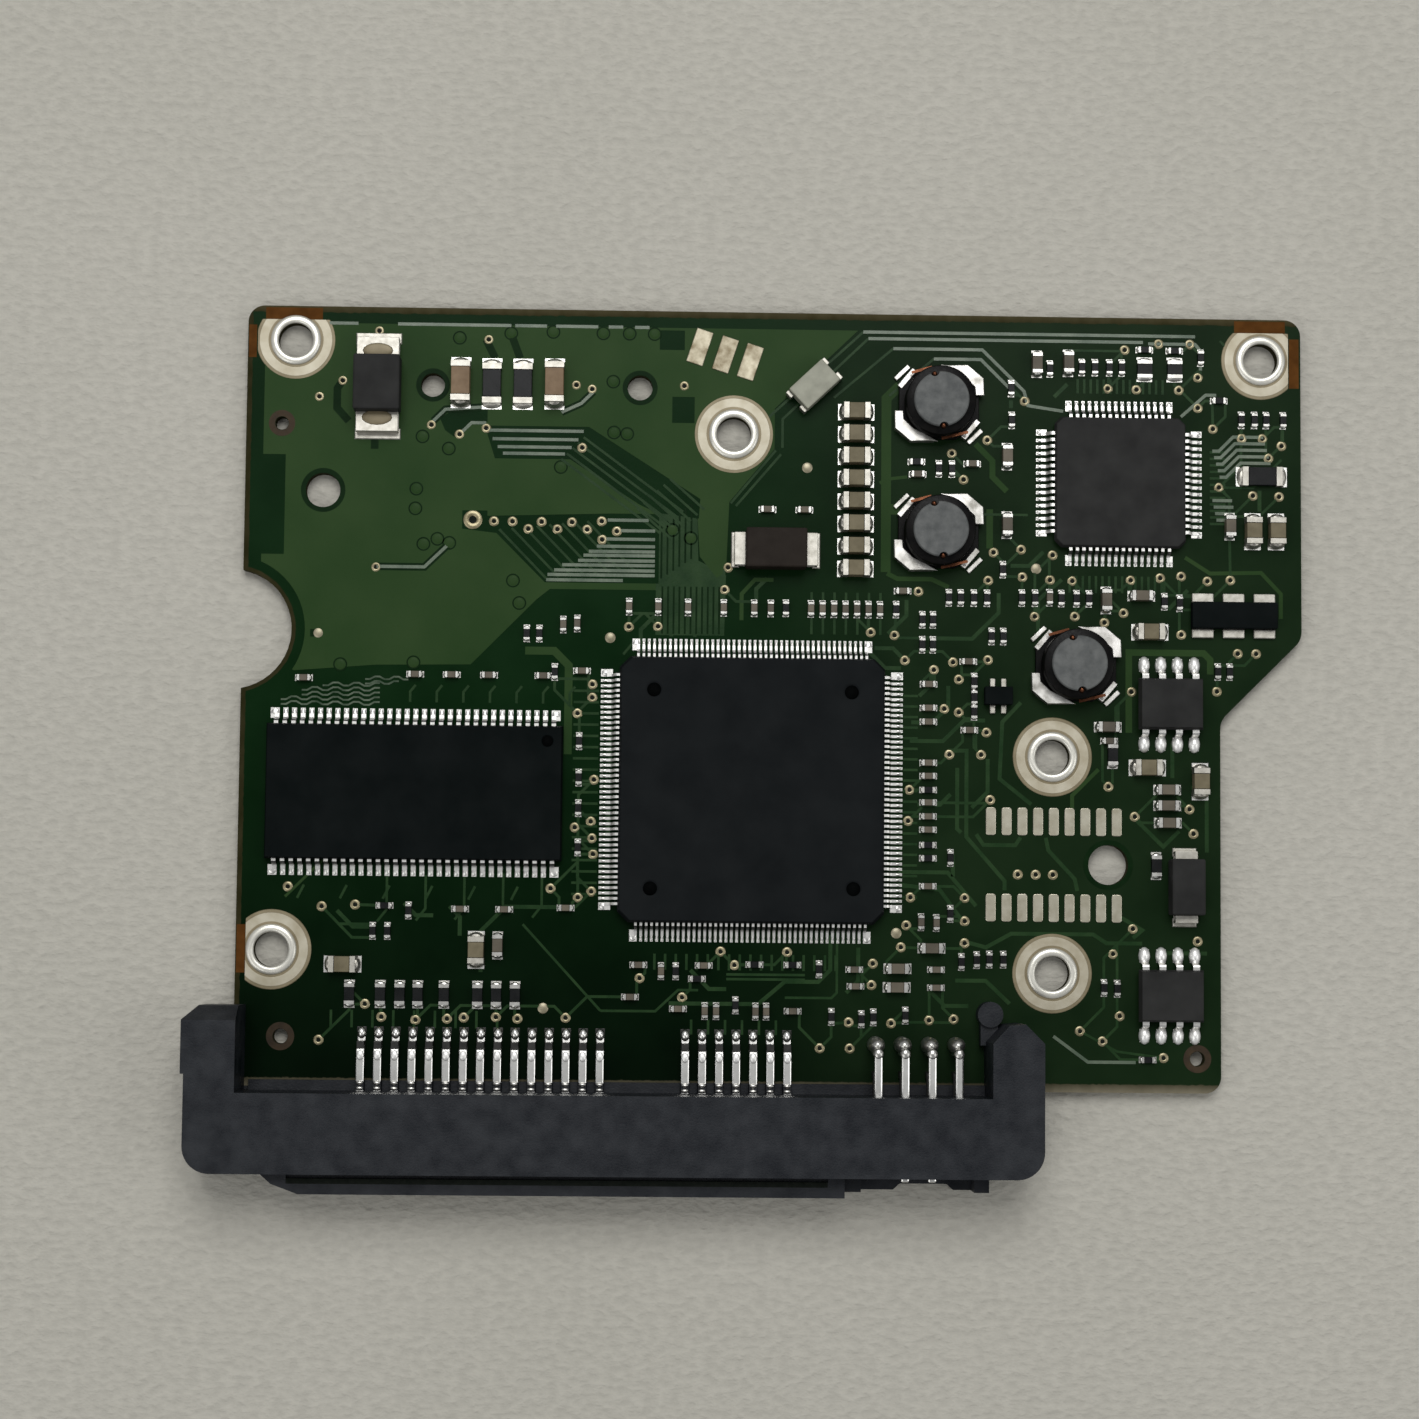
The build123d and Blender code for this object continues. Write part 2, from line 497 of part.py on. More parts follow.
# ---------------------------------------------------------------- build
def main():
    os.makedirs("parts", exist_ok=True)
    save(circuit_board(), "circuit_board")
    save(mounting_hole_lands(), "mounting_hole_lands")
    save(head_contact_pads(), "head_contact_pads")
    save(motor_contact_pads(), "motor_contact_pads")
    save(connector_housing(), "connector_housing")
    save(group(contact(x) for x in power_xs()), "power_contacts")
    save(group(contact(x) for x in signal_xs()), "signal_contacts")
    save(jumper_pins(), "jumper_pins")

    save(chip_body(CONTROLLER["at"], CONTROLLER["size"], 0.9), "controller_body")
    save(lead_rows(**CONTROLLER, sides=(0, 90, 180, 270), shape=fine_lead), "controller_leads")
    save(chip_body(MEMORY["at"], MEMORY["size"], 0), "memory_body")
    save(lead_rows(**MEMORY, sides=(0, 180), shape=fine_lead), "memory_leads")
    save(chip_body(MOTOR["at"], MOTOR["size"], 0.6), "motor_driver_body")
    save(lead_rows(**MOTOR, sides=(0, 90, 180, 270), shape=fine_lead), "motor_driver_leads")
    for name, at in zip(("upper", "lower"), SO8_AT):
        save(chip_body(at, SO8["size"], 0), name + "_switch_chip_body")
        save(lead_rows(at=at, **SO8, sides=(0, 180), shape=gull_lead), name + "_switch_chip_leads")

    for name, (x, y) in zip(("upper", "middle", "lower"), INDUCTORS):
        save(inductor_core(x, y), name + "_inductor_core")
        save(inductor_winding(x, y), name + "_inductor_winding")
        save(inductor_terminals(x, y), name + "_inductor_terminals")

    save(diode_body(6.8, 42.7, 3.5, 4.2, 2.2), "surge_diode_body")
    save(diode_terminals(6.8, 42.7, 3.5, 2.1, 1.5, 3.2, 2.0, 0), "surge_diode_terminals")
    save(diode_body(37.05, 30.55, 4.6, 3.0, 2.1), "blocking_diode_body")
    save(diode_terminals(37.05, 30.55, 3.0, 2.3, 0.85, 2.5, 2.0, 90), "blocking_diode_terminals")
    save(diode_body(68.1, 5.35, 2.5, 4.2, 2.1), "rectifier_body")
    save(diode_terminals(68.1, 5.35, 2.5, 2.1, 0.6, 1.7, 2.0, 0), "rectifier_terminals")

    for pair, name, ends in ((shock_sensor(), "shock_sensor", "terminals"),
                             (power_array(), "power_array", "leads"),
                             (switch_chip(), "small_switch", "leads")):
        save(pair[0], name + "_body")
        save(pair[1], name + "_" + ends)

    for places, case, height, name in (([(x, y, "h") for x, y in BULK], "0805", 1.25, "bulk_capacitor"),
                                       (CAP_1206, "1206", 1.3, "corner_capacitor"),
                                       (RES_1206, "1206", 0.55, "corner_resistor"),
                                       (SENSE, "1206", 0.55, "sense_resistor"),
                                       (CAP_0805, "0805", 1.0, "chip_capacitor")):
        bodies, ends = chips(places, case, height)
        save(group(bodies), name + "_bodies")
        save(group(ends), name + "_ends")

    small = whole_chips(facing(CAP_UP, CAP_FLAT), "0402", 0.5) + whole_chips(CAP_0603, "0603", 0.8)
    save(group(small), "small_capacitors")
    small = whole_chips(facing(RES_UP, RES_FLAT), "0402", 0.35) + whole_chips(RES_0603, "0603", 0.45)
    arrays = [block(x, y, 1.2, 1.4, TOP, TOP + 0.4) for x, y in ARRAYS]
    save(group(small + arrays), "small_resistors")


main()
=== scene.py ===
"""Dresses the hard drive circuit board: finishes, copper, solder, chips, leads, stage and camera."""
import math

import bmesh
import bpy
from mathutils import Matrix, Vector


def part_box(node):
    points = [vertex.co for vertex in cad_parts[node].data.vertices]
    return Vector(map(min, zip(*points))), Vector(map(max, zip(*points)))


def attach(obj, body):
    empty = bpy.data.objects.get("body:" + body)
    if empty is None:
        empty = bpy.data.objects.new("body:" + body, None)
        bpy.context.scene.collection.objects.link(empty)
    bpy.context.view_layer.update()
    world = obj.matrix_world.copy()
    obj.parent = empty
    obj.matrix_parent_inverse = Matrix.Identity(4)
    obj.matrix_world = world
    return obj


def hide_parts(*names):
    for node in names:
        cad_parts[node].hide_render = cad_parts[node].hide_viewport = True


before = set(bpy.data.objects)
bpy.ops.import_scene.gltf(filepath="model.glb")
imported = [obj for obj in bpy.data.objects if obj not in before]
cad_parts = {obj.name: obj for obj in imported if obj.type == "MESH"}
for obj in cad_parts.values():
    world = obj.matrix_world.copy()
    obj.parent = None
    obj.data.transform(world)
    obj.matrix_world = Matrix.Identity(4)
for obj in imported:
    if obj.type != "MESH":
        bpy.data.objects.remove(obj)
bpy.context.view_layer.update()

MM = 0.001
DATUM = (-0.45, 0.05)          # the datum hole on the layout grid, which all (x, y) below are read on, in mm
BOARD_LO, BOARD_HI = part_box("circuit_board")
TOP = BOARD_HI.z / MM          # component face of the board, in mm
NOTCH = (-3.95, 24.1, 4.55)    # edge notch: centre and radius
NOTCH_BAND = 1.0               # copper keeps this far from the notch
SHELF_EDGE = -9.6              # edge of the connector's shelf, towards the board
LEDGE_TOP = 5.2                # top of the ledge in front of the slab
LEDGE_SLOT = (1.425, 41.05, -16.98, -16.6)      # left, right, front and rear of the painted shade beside its groove, where the slab casts its shadow
LAND_LIMITS = (-2.37, 47.73, 76.13)             # where the lands are cut: left, far and right
TRACK_LIFT = 0.0004            # neighbouring tracks differ this much in height, so that none share a face
TRACK_LAYERS = 7               # and after this many tracks the heights repeat
RIM = (0.37, 0.48, 0.62, 0.3)  # bare rim at the left, far and near edges and round the notch
SHORT_LEAD = 1.04              # a lead with less reach than this gets painted shade at its neck
SMALL_CHIP = 1.3               # a small chip shorter than this is of the smaller case
WIRE_ANGLES = (105, 275)       # where an inductor's two wire ends leave its flange, in degrees
TALL_PIN = 3.4                 # the upper jumper pins stand higher than this above the board
# Holes as (x, y, radius): six for screws, four that locate the board and three for tooling. Their centres
# were marked in the photo and put on the grid by the fit that the camera comes from
HOLES = [(-0.45, 0.05, 1.3), (0.5, 46.15, 1.3), (74.0, 45.6, 1.3), (33.8, 39.4, 1.3), (58.1, 15.1, 1.3),
    (58.1, -1.2, 1.3), (2.77, 34.71, 1.3), (10.93, 42.85, 0.9), (26.64, 42.85, 0.95), (62.33, 6.99, 1.5),
    (-0.43, 39.78, 0.5), (0.35, -6.4, 0.55), (69.05, -7.5, 0.55)]


# ---------------------------------------------------------------- shader helpers
class Nodes:
    """One material's node tree, with short calls for the nodes that repeat."""

    def __init__(self, name):
        self.material = bpy.data.materials.new(name)
        self.material.use_nodes = True
        self.tree = self.material.node_tree
        self.place = self.add("TexCoord")["Object"]

    def feed(self, socket, value):
        """Links an output to an input socket, or sets it to a number, vector or colour."""
        if isinstance(value, bpy.types.NodeSocket):
            self.tree.links.new(value, socket)
        else:
            socket.default_value = (*value, 1) if socket.type == "RGBA" else value

    def shade(self, inputs):
        for key, value in inputs.items():
            self.feed(self.tree.nodes["Principled BSDF"].inputs[key], value)

    def add(self, kind, inputs=None, **settings):
        """A new node with its settings and inputs; returns its outputs."""
        node = self.tree.nodes.new("ShaderNode" + kind)
        for key, value in settings.items():
            setattr(node, key, value)
        for key, value in (inputs or {}).items():
            self.feed(node.inputs[key], value)
        return node.outputs

    def math(self, operation, a, b=0.0):
        return self.add("Math", {0: a, 1: b}, operation=operation)[0]

    def noise(self, size_mm, detail=3.0, stretch=(1, 1, 1)):
        """Noise whose features are about size_mm across."""
        place = self.add("Mapping", {"Vector": self.place, "Scale": stretch})[0]
        return self.add("TexNoise", {"Vector": place, "Scale": 1 / (size_mm * MM), "Detail": detail})["Fac"]

    def spread(self, value, from_low, from_high, low=0.0, high=1.0, smooth=False):
        return self.add("MapRange", {0: value, 1: from_low, 2: from_high, 3: low, 4: high},
                        interpolation_type="SMOOTHSTEP" if smooth else "LINEAR")[0]

    def mix(self, factor, a, b):
        return self.add("Mix", {0: factor, 6: a, 7: b}, data_type="RGBA")[2]

    def bump(self, height, depth_mm):
        bump = self.add("Bump", {"Strength": 1.0, "Distance": depth_mm * MM, "Height": height})[0]
        self.shade({"Normal": bump})


def finish_material(name, dark, light, rough, metallic, patch_mm, grain_mm, depth_mm, shine=0.5):
    """A finish whose colour drifts between two tones and whose fine grain shows in its gloss and bump."""
    n = Nodes(name)
    grain = n.noise(grain_mm, 2.0)
    n.shade({"Specular IOR Level": shine, "Metallic": metallic,
             "Base Color": n.mix(n.spread(n.noise(patch_mm), 0.3, 0.7), dark, light),
             "Roughness": rough[0] if rough[0] == rough[1] else n.spread(grain, 0.3, 0.7, *rough)})
    if depth_mm:
        n.bump(grain, depth_mm)
    return n.material


def board_material():
    """Green mask on both faces, with a bare rim along the cut edges and bare sides."""
    n = Nodes("board_mask")
    x, y = n.add("SeparateXYZ", {0: n.place})[:2]
    left = n.math("DIVIDE", n.math("SUBTRACT", x, BOARD_LO.x), RIM[0] * MM)
    far = n.math("DIVIDE", n.math("SUBTRACT", BOARD_HI.y, y), RIM[1] * MM)
    near = n.math("DIVIDE", n.math("SUBTRACT", y, BOARD_LO.y), RIM[2] * MM)
    dx = n.math("SUBTRACT", x, (NOTCH[0] - DATUM[0]) * MM)
    dy = n.math("SUBTRACT", y, (NOTCH[1] - DATUM[1]) * MM)
    reach = n.math("SQRT", n.math("ADD", n.math("MULTIPLY", dx, dx), n.math("MULTIPLY", dy, dy)))
    bite = n.math("DIVIDE", n.math("SUBTRACT", reach, NOTCH[2] * MM), RIM[3] * MM)
    rim = n.math("MINIMUM", n.math("MINIMUM", left, far), n.math("MINIMUM", near, bite))
    wander = n.spread(n.noise(0.5), 0.3, 0.7, -0.1, 0.1)
    covered = n.spread(n.math("ADD", rim, wander), 0.93, 1.07, smooth=True)
    up = n.add("SeparateXYZ", {0: n.add("NewGeometry")["Normal"]})[2]
    masked = n.math("MULTIPLY", covered, n.math("GREATER_THAN", n.math("ABSOLUTE", up), 0.5))
    weave = n.spread(n.noise(0.9, 3.0, (1, 0.5, 1)), 0.3, 0.7)
    laminate = n.mix(weave, (0.016, 0.015, 0.0045), (0.030, 0.026, 0.0110))
    # painted light: the bare rim is lit towards the far edge and carries a painted sheen towards the near
    # edge
    lit = n.mix(weave, (0.046, 0.038, 0.017), (0.062, 0.053, 0.027))
    painted_rim_sheen = n.mix(weave, (0.140, 0.124, 0.084), (0.180, 0.160, 0.112))
    laminate = n.mix(n.spread(far, 0.0, 1.3, 1.0, 0.0), laminate, lit)
    laminate = n.mix(n.spread(near, 0.0, 1.3, 1.0, 0.0), laminate, painted_rim_sheen)
    patch = n.spread(n.noise(5.0), 0.35, 0.65)
    # painted shade and light: the mask is darker towards the near edge and lighter towards the right side
    shaded = n.mix(patch, (0.0006, 0.0042, 0.0010), (0.0014, 0.0064, 0.0018))
    mask = n.mix(patch, (0.0014, 0.0130, 0.0022), (0.0032, 0.0175, 0.0040))
    mask = n.mix(n.spread(y, -0.010, 0.022, smooth=True), shaded, mask)
    painted_lit_side = n.mix(patch, (0.0055, 0.0150, 0.0050), (0.0085, 0.0200, 0.0072))
    mask = n.mix(n.spread(x, 0.030, 0.052, smooth=True), mask, painted_lit_side)
    n.shade({"Base Color": n.mix(masked, laminate, mask), "Specular IOR Level": 0.03,
             "Roughness": n.spread(masked, 0.0, 1.0, 0.75, 0.28)})
    n.bump(n.noise(0.25, 2.0), 0.003)
    return n.material


# Each finish under its record slot: dark and light colour, roughness from and to, metallic, then the
# size of its patches and of its grain in mm, and the depth of its bump in mm and the specular level
FINISHES = {
    "board_laminate": {
        "pour_mask": ((0.0175, 0.042, 0.012), (0.0255, 0.052, 0.0165), (0.26, 0.36), 0.0, 6.0, 0.25, 0.003,
            0.03),
        "track_mask": ((0.009, 0.029, 0.0085), (0.019, 0.045, 0.015), (0.24, 0.34), 0.0, 1.5, 0.2, 0.002,
            0.08),
        "track_lit": ((0.065, 0.095, 0.062), (0.135, 0.165, 0.118), (0.2, 0.3), 0.0, 1.6, 0.2, 0.002, 0.3),
        "track_pale": ((0.022, 0.045, 0.022), (0.105, 0.135, 0.092), (0.2, 0.3), 0.0, 0.9, 0.2, 0.002, 0.2),
        "ring_mask": ((0.0025, 0.012, 0.0028), (0.005, 0.018, 0.0048), (0.3, 0.4), 0.0, 1.0, 0.2, 0.0, 0.03),
        "bare_laminate": ((0.06, 0.022, 0.0035), (0.095, 0.036, 0.007), (0.6, 0.8), 0.0, 0.8, 0.1, 0.004,
            0.05),
        "bare_ring": ((0.02, 0.012, 0.005), (0.04, 0.024, 0.01), (0.5, 0.7), 0.0, 0.8, 0.1, 0.002, 0.2),
        # painted shade: black laid in via holes and on the ledge under the slab's edge
        "painted_deep_shade": ((0.003, 0.005, 0.003), (0.008, 0.01, 0.007), (0.6, 0.8), 0.0, 0.3, 0.1, 0.0, 0.1),
    },
    "tin_plate": {
        "clip_tin": ((0.24, 0.232, 0.205), (0.8, 0.78, 0.74), (0.34, 0.34), 0.95, 1.1, 0.15, 0.0),
        "contact_pad": ((0.14, 0.108, 0.055), (0.43, 0.39, 0.285), (0.36, 0.36), 0.4, 0.8, 0.12, 0.002),
        "tin": ((0.74, 0.73, 0.69), (0.86, 0.85, 0.81), (0.27, 0.27), 1.0, 0.6, 0.15, 0.0),
        "lead_tin": ((0.62, 0.61, 0.58), (0.76, 0.75, 0.71), (0.3, 0.3), 0.95, 0.8, 0.15, 0.0),
        "solder": ((0.84, 0.83, 0.8), (0.92, 0.91, 0.88), (0.36, 0.36), 0.6, 0.8, 0.15, 0.0),
        "cap_tin": ((0.44, 0.43, 0.4), (0.64, 0.63, 0.59), (0.3, 0.3), 0.95, 0.5, 0.15, 0.0),
        "plate_tin": ((0.34, 0.325, 0.28), (0.52, 0.5, 0.445), (0.4, 0.4), 0.95, 0.5, 0.15, 0.0),
        # painted shade: dark metal laid over lead bends, round contact solder and on the lower jumper pins,
        # where shade and dark reflections fall
        "painted_metal_shade": ((0.01, 0.01, 0.009), (0.03, 0.029, 0.026), (0.3, 0.5), 0.0, 0.5, 0.12, 0.0, 0.3),
        "land_tin": ((0.335, 0.295, 0.205), (0.46, 0.425, 0.33), (0.42, 0.42), 0.35, 1.3, 0.15, 0.002),
        "border_tin": ((0.155, 0.125, 0.068), (0.225, 0.185, 0.11), (0.45, 0.45), 0.3, 1.3, 0.15, 0.002),
        "ring_tin": ((0.6, 0.585, 0.52), (0.74, 0.72, 0.64), (0.32, 0.32), 0.6, 1.2, 0.15, 0.001),
        "pad_tin": ((0.215, 0.19, 0.12), (0.32, 0.285, 0.195), (0.36, 0.36), 0.45, 0.7, 0.12, 0.002),
        "gold_tin": ((0.19, 0.16, 0.088), (0.34, 0.295, 0.18), (0.32, 0.32), 0.6, 0.6, 0.12, 0.001),
        "head_tin": ((0.38, 0.35, 0.26), (0.52, 0.49, 0.39), (0.27, 0.27), 0.65, 0.8, 0.12, 0.0),
    },
    "mould_compound": {
        "mould": ((0.0054, 0.0066, 0.0072), (0.009, 0.0104, 0.011), (0.55, 0.7), 0.0, 3.0, 0.07, 0.005, 0.04),
        "mould_dark": ((0.002, 0.0034, 0.0034), (0.005, 0.0066, 0.0066), (0.52, 0.68), 0.0, 3.0, 0.07,
            0.005, 0.03),
        "mould_grey": ((0.0165, 0.0165, 0.016), (0.0265, 0.0265, 0.0255), (0.58, 0.72), 0.0, 2.0, 0.07,
            0.006, 0.08),
        "dimple": ((0.0006, 0.0008, 0.0008), (0.0014, 0.0018, 0.0018), (0.6, 0.75), 0.0, 1.0, 0.08, 0.002,
            0.02),
    },
    "brown_compound": {
        "brown": ((0.0145, 0.011, 0.0085), (0.0215, 0.017, 0.0135), (0.5, 0.65), 0.0, 1.5, 0.07, 0.005, 0.07),
    },
    "connector_plastic": {
        "plastic": ((0.001, 0.0024, 0.0052), (0.015, 0.017, 0.0205), (0.34, 0.58), 0.0, 1.5, 0.14, 0.014,
            0.26),
    },
    "ferrite": {
        "ferrite": ((0.062, 0.066, 0.065), (0.112, 0.116, 0.112), (0.5, 0.7), 0.0, 0.7, 0.1, 0.008, 0.3),
    },
    "copper_wire": {
        "varnish": ((0.0012, 0.0012, 0.0012), (0.0045, 0.004, 0.0036), (0.28, 0.45), 0.0, 0.7, 0.15, 0.004,
            0.08),
        "copper": ((0.07, 0.027, 0.014), (0.2, 0.077, 0.039), (0.36, 0.36), 1.0, 0.8, 0.1, 0.0),
    },
    "tan_ceramic": {
        "tan": ((0.145, 0.094, 0.052), (0.205, 0.14, 0.083), (0.42, 0.58), 0.0, 0.8, 0.08, 0.004, 0.2),
        "brown_grey": ((0.062, 0.052, 0.036), (0.125, 0.105, 0.074), (0.42, 0.58), 0.0, 2.5, 0.08, 0.003,
            0.3),
    },
    "grey_ceramic": {
        "ceramic_grey": ((0.11, 0.092, 0.053), (0.165, 0.14, 0.086), (0.42, 0.58), 0.0, 0.9, 0.08, 0.004,
            0.2),
    },
    "resistor_black": {
        "resistor": ((0.003, 0.0036, 0.0038), (0.0085, 0.009, 0.0092), (0.25, 0.4), 0.0, 0.8, 0.08, 0.003,
            0.15),
    },
    "sensor_ceramic": {
        "sensor": ((0.22, 0.22, 0.172), (0.31, 0.31, 0.245), (0.4, 0.55), 0.0, 0.9, 0.1, 0.004, 0.3),
    },
}
MATERIALS = {"board_mask": board_material()}
for slot, group in FINISHES.items():
    for name, values in group.items():
        MATERIALS[name] = finish_material(name, *values)


# ---------------------------------------------------------------- mesh helpers
def spot(x, y, z):
    """A point of the layout grid, in mm, in the frame, in metres."""
    return Vector(((x - DATUM[0]) * MM, (y - DATUM[1]) * MM, z * MM))


def piece(name, bm, material, replaced=(), bevel_mm=0.0, smooth=False):
    """Makes an object of a bmesh, with its material and body, and the CAD nodes it replaces."""
    bmesh.ops.recalc_face_normals(bm, faces=bm.faces)
    mesh = bpy.data.meshes.new(name)
    bm.to_mesh(mesh)
    bm.free()
    obj = bpy.data.objects.new(name, mesh)
    bpy.context.scene.collection.objects.link(obj)
    if smooth:
        mesh.shade_smooth()
    if bevel_mm:
        soften(obj, bevel_mm)
    mesh.materials.append(MATERIALS[material])
    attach(obj, "root")
    if replaced:
        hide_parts(*replaced)
    return obj


def soften(obj, width_mm, segments=2):
    bevel = obj.modifiers.new("edges", "BEVEL")
    bevel.width, bevel.segments = width_mm * MM, segments
    bevel.limit_method, bevel.angle_limit = "ANGLE", math.radians(30)
    bevel.harden_normals = False


def bevelled_copy(node, material, width_mm, segments=2):
    """A copy of a CAD node with its sharp edges rounded."""
    bm = bmesh.new()
    bm.from_mesh(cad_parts[node].data)
    bmesh.ops.remove_doubles(bm, verts=bm.verts, dist=1e-7)
    bmesh.ops.dissolve_limit(bm, angle_limit=math.radians(1), verts=bm.verts, edges=bm.edges)
    soften(piece(node + "_shaped", bm, material, [node]), width_mm, segments)


def islands(node):
    """(centre, size) in layout mm of each separate solid in a CAD node."""
    bm = bmesh.new()
    bm.from_mesh(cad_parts[node].data)
    bmesh.ops.remove_doubles(bm, verts=bm.verts, dist=1e-7)
    seen, found = set(), []
    for start in bm.verts:
        if start in seen:
            continue
        group, stack = [], [start]
        seen.add(start)
        while stack:
            v = stack.pop()
            group.append(v.co.copy())
            for e in v.link_edges:
                other = e.other_vert(v)
                if other not in seen:
                    seen.add(other)
                    stack.append(other)
        lo = [min(c[i] for c in group) / MM for i in range(3)]
        hi = [max(c[i] for c in group) / MM for i in range(3)]
        centre = ((lo[0] + hi[0]) / 2 + DATUM[0], (lo[1] + hi[1]) / 2 + DATUM[1], (lo[2] + hi[2]) / 2)
        found.append((centre, tuple(h - l for l, h in zip(lo, hi))))
    bm.free()
    return sorted(found)


def node_box(node):
    """Centre and size of a whole CAD node in layout mm."""
    lo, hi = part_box(node)
    centre = ((lo + hi) / 2) / MM
    return (centre.x + DATUM[0], centre.y + DATUM[1], centre.z), tuple((hi - lo) / MM)


def ring(bm, outline, z):
    """The corners of an outline of (x, y) points at height z."""
    return [bm.verts.new(spot(x, y, z)) for x, y in outline]


def skin(bm, rings, ends=True):
    """A face at each end, and walls from each ring to the next."""
    if ends:
        bm.faces.new(rings[0][::-1])
        bm.faces.new(rings[-1])
    for a, b in zip(rings, rings[1:]):
        for i in range(len(a)):
            j = (i + 1) % len(a)
            bm.faces.new((a[i], a[j], b[j], b[i]))


def turned(cx, cy, turn, u, v):
    """The point (u, v) of a shape that is turned by turn degrees and set at (cx, cy)."""
    c, s = math.cos(math.radians(turn)), math.sin(math.radians(turn))
    return cx + u * c - v * s, cy + u * s + v * c


def add_box(bm, cx, cy, lx, ly, z0, z1, turn=0.0, inset=0.0):
    """A block; inset draws its top face in on every side."""
    skin(bm, [ring(bm, [turned(cx, cy, turn, sx * (lx / 2 - cut), sy * (ly / 2 - cut))
                        for sx, sy in ((-1, -1), (1, -1), (1, 1), (-1, 1))], z)
              for z, cut in ((z0, 0.0), (z1, inset))])


def add_lathe(bm, x, y, section, sides, closed=False):
    """Turns a section of (radius, z) points round an upright axis."""
    angles = [2 * math.pi * i / sides for i in range(sides)]
    rings = [ring(bm, [(x + r * math.cos(a), y + r * math.sin(a)) for a in angles] if r else [(x, y)], z)
             for r, z in section]
    for a, b in list(zip(rings, rings[1:])) + ([(rings[-1], rings[0])] if closed else []):
        for i in range(sides):
            j = (i + 1) % sides
            corners = dict.fromkeys((a[i % len(a)], a[j % len(a)], b[j % len(b)], b[i % len(b)]))
            if len(corners) > 2:
                bm.faces.new(list(corners))


def add_strip(bm, points, width, z0, z1):
    """A flat track of even width along a bent line, mitred at its bends."""
    pts = [Vector(p) for p in points]
    left, right = [], []
    for i, p in enumerate(pts):
        before = (p - pts[i - 1]).normalized() if i else None
        after = (pts[i + 1] - p).normalized() if i < len(pts) - 1 else None
        along = ((before or after) + (after or before)).normalized()
        side = Vector((-along.y, along.x)) * (width / 2 / max(0.5, along.dot(before or after)))
        left.append(p + side)
        right.append(p - side)
    low, high = (ring(bm, left + right[::-1], z) for z in (z0, z1))
    skin(bm, [low, high], ends=False)
    for a in range(len(pts) - 1):
        d = len(low) - 1 - a
        bm.faces.new((high[a], high[a + 1], high[d - 1], high[d]))
        bm.faces.new((low[d], low[d - 1], low[a + 1], low[a]))


def add_prism(bm, outline, z0, z1):
    skin(bm, [ring(bm, outline, z0), ring(bm, outline, z1)])


def add_pill(bm, cx, cy, lx, ly, z0, z1, r):
    """An upright block with corners of radius r, as a pad."""
    outline = []
    for k, (sx, sy) in enumerate(((1, 1), (-1, 1), (-1, -1), (1, -1))):
        for step in range(7):
            a = math.pi / 2 * (k + step / 6)
            outline.append((cx + sx * (lx / 2 - r) + r * math.cos(a),
                            cy + sy * (ly / 2 - r) + r * math.sin(a)))
    add_prism(bm, outline, z0, z1)


def add_profile(bm, origin, turn, width, section):
    """Sweeps a closed section of (out, z) points across a width; turn 0 points out along +Y."""
    skin(bm, [[bm.verts.new(spot(*turned(*origin, turn, u, out), z)) for out, z in section]
              for u in (width / 2, -width / 2)])


def add_dome(bm, cx, cy, rx, ry, z0, height, turn=0.0, sides=10, rings=3, half=False):
    """A low blob of solder; half keeps only the side that points along its own +X."""
    start, sweep = (-math.pi / 2, math.pi) if half else (0.0, 2 * math.pi)
    count = sides + 1 if half else sides
    rows = []
    for k in range(rings):
        lift = math.pi / 2 * k / rings
        angles = [start + sweep * i / sides for i in range(count)]
        rows.append(ring(bm, [turned(cx, cy, turn, rx * math.cos(a) * math.cos(lift),
                                     ry * math.sin(a) * math.cos(lift)) for a in angles],
                         z0 + height * math.sin(lift)))
    peak = bm.verts.new(spot(cx, cy, z0 + height))
    for low, high in zip(rows, rows[1:]):
        for i in range(sides):
            j = (i + 1) % count
            bm.faces.new((low[i], low[j], high[j], high[i]))
    for i in range(sides):
        bm.faces.new((rows[-1][i], rows[-1][(i + 1) % count], peak))
    if half:
        bm.faces.new([row[0] for row in rows] + [peak] + [row[-1] for row in rows[::-1]])
    bm.faces.new(rows[0][::-1])


def carve(obj, cutter_bm):
    """Cuts the shapes in cutter_bm out of obj for good."""
    bmesh.ops.recalc_face_normals(cutter_bm, faces=cutter_bm.faces)
    mesh = bpy.data.meshes.new("cutter")
    cutter_bm.to_mesh(mesh)
    cutter_bm.free()
    cutter = bpy.data.objects.new("cutter", mesh)
    bpy.context.scene.collection.objects.link(cutter)
    modifier = obj.modifiers.new("cut", "BOOLEAN")
    modifier.operation, modifier.object, modifier.solver = "DIFFERENCE", cutter, "EXACT"
    evaluated = obj.evaluated_get(bpy.context.evaluated_depsgraph_get())
    made = bpy.data.meshes.new_from_object(evaluated)
    obj.modifiers.clear()
    obj.data = made
    bpy.data.objects.remove(cutter)
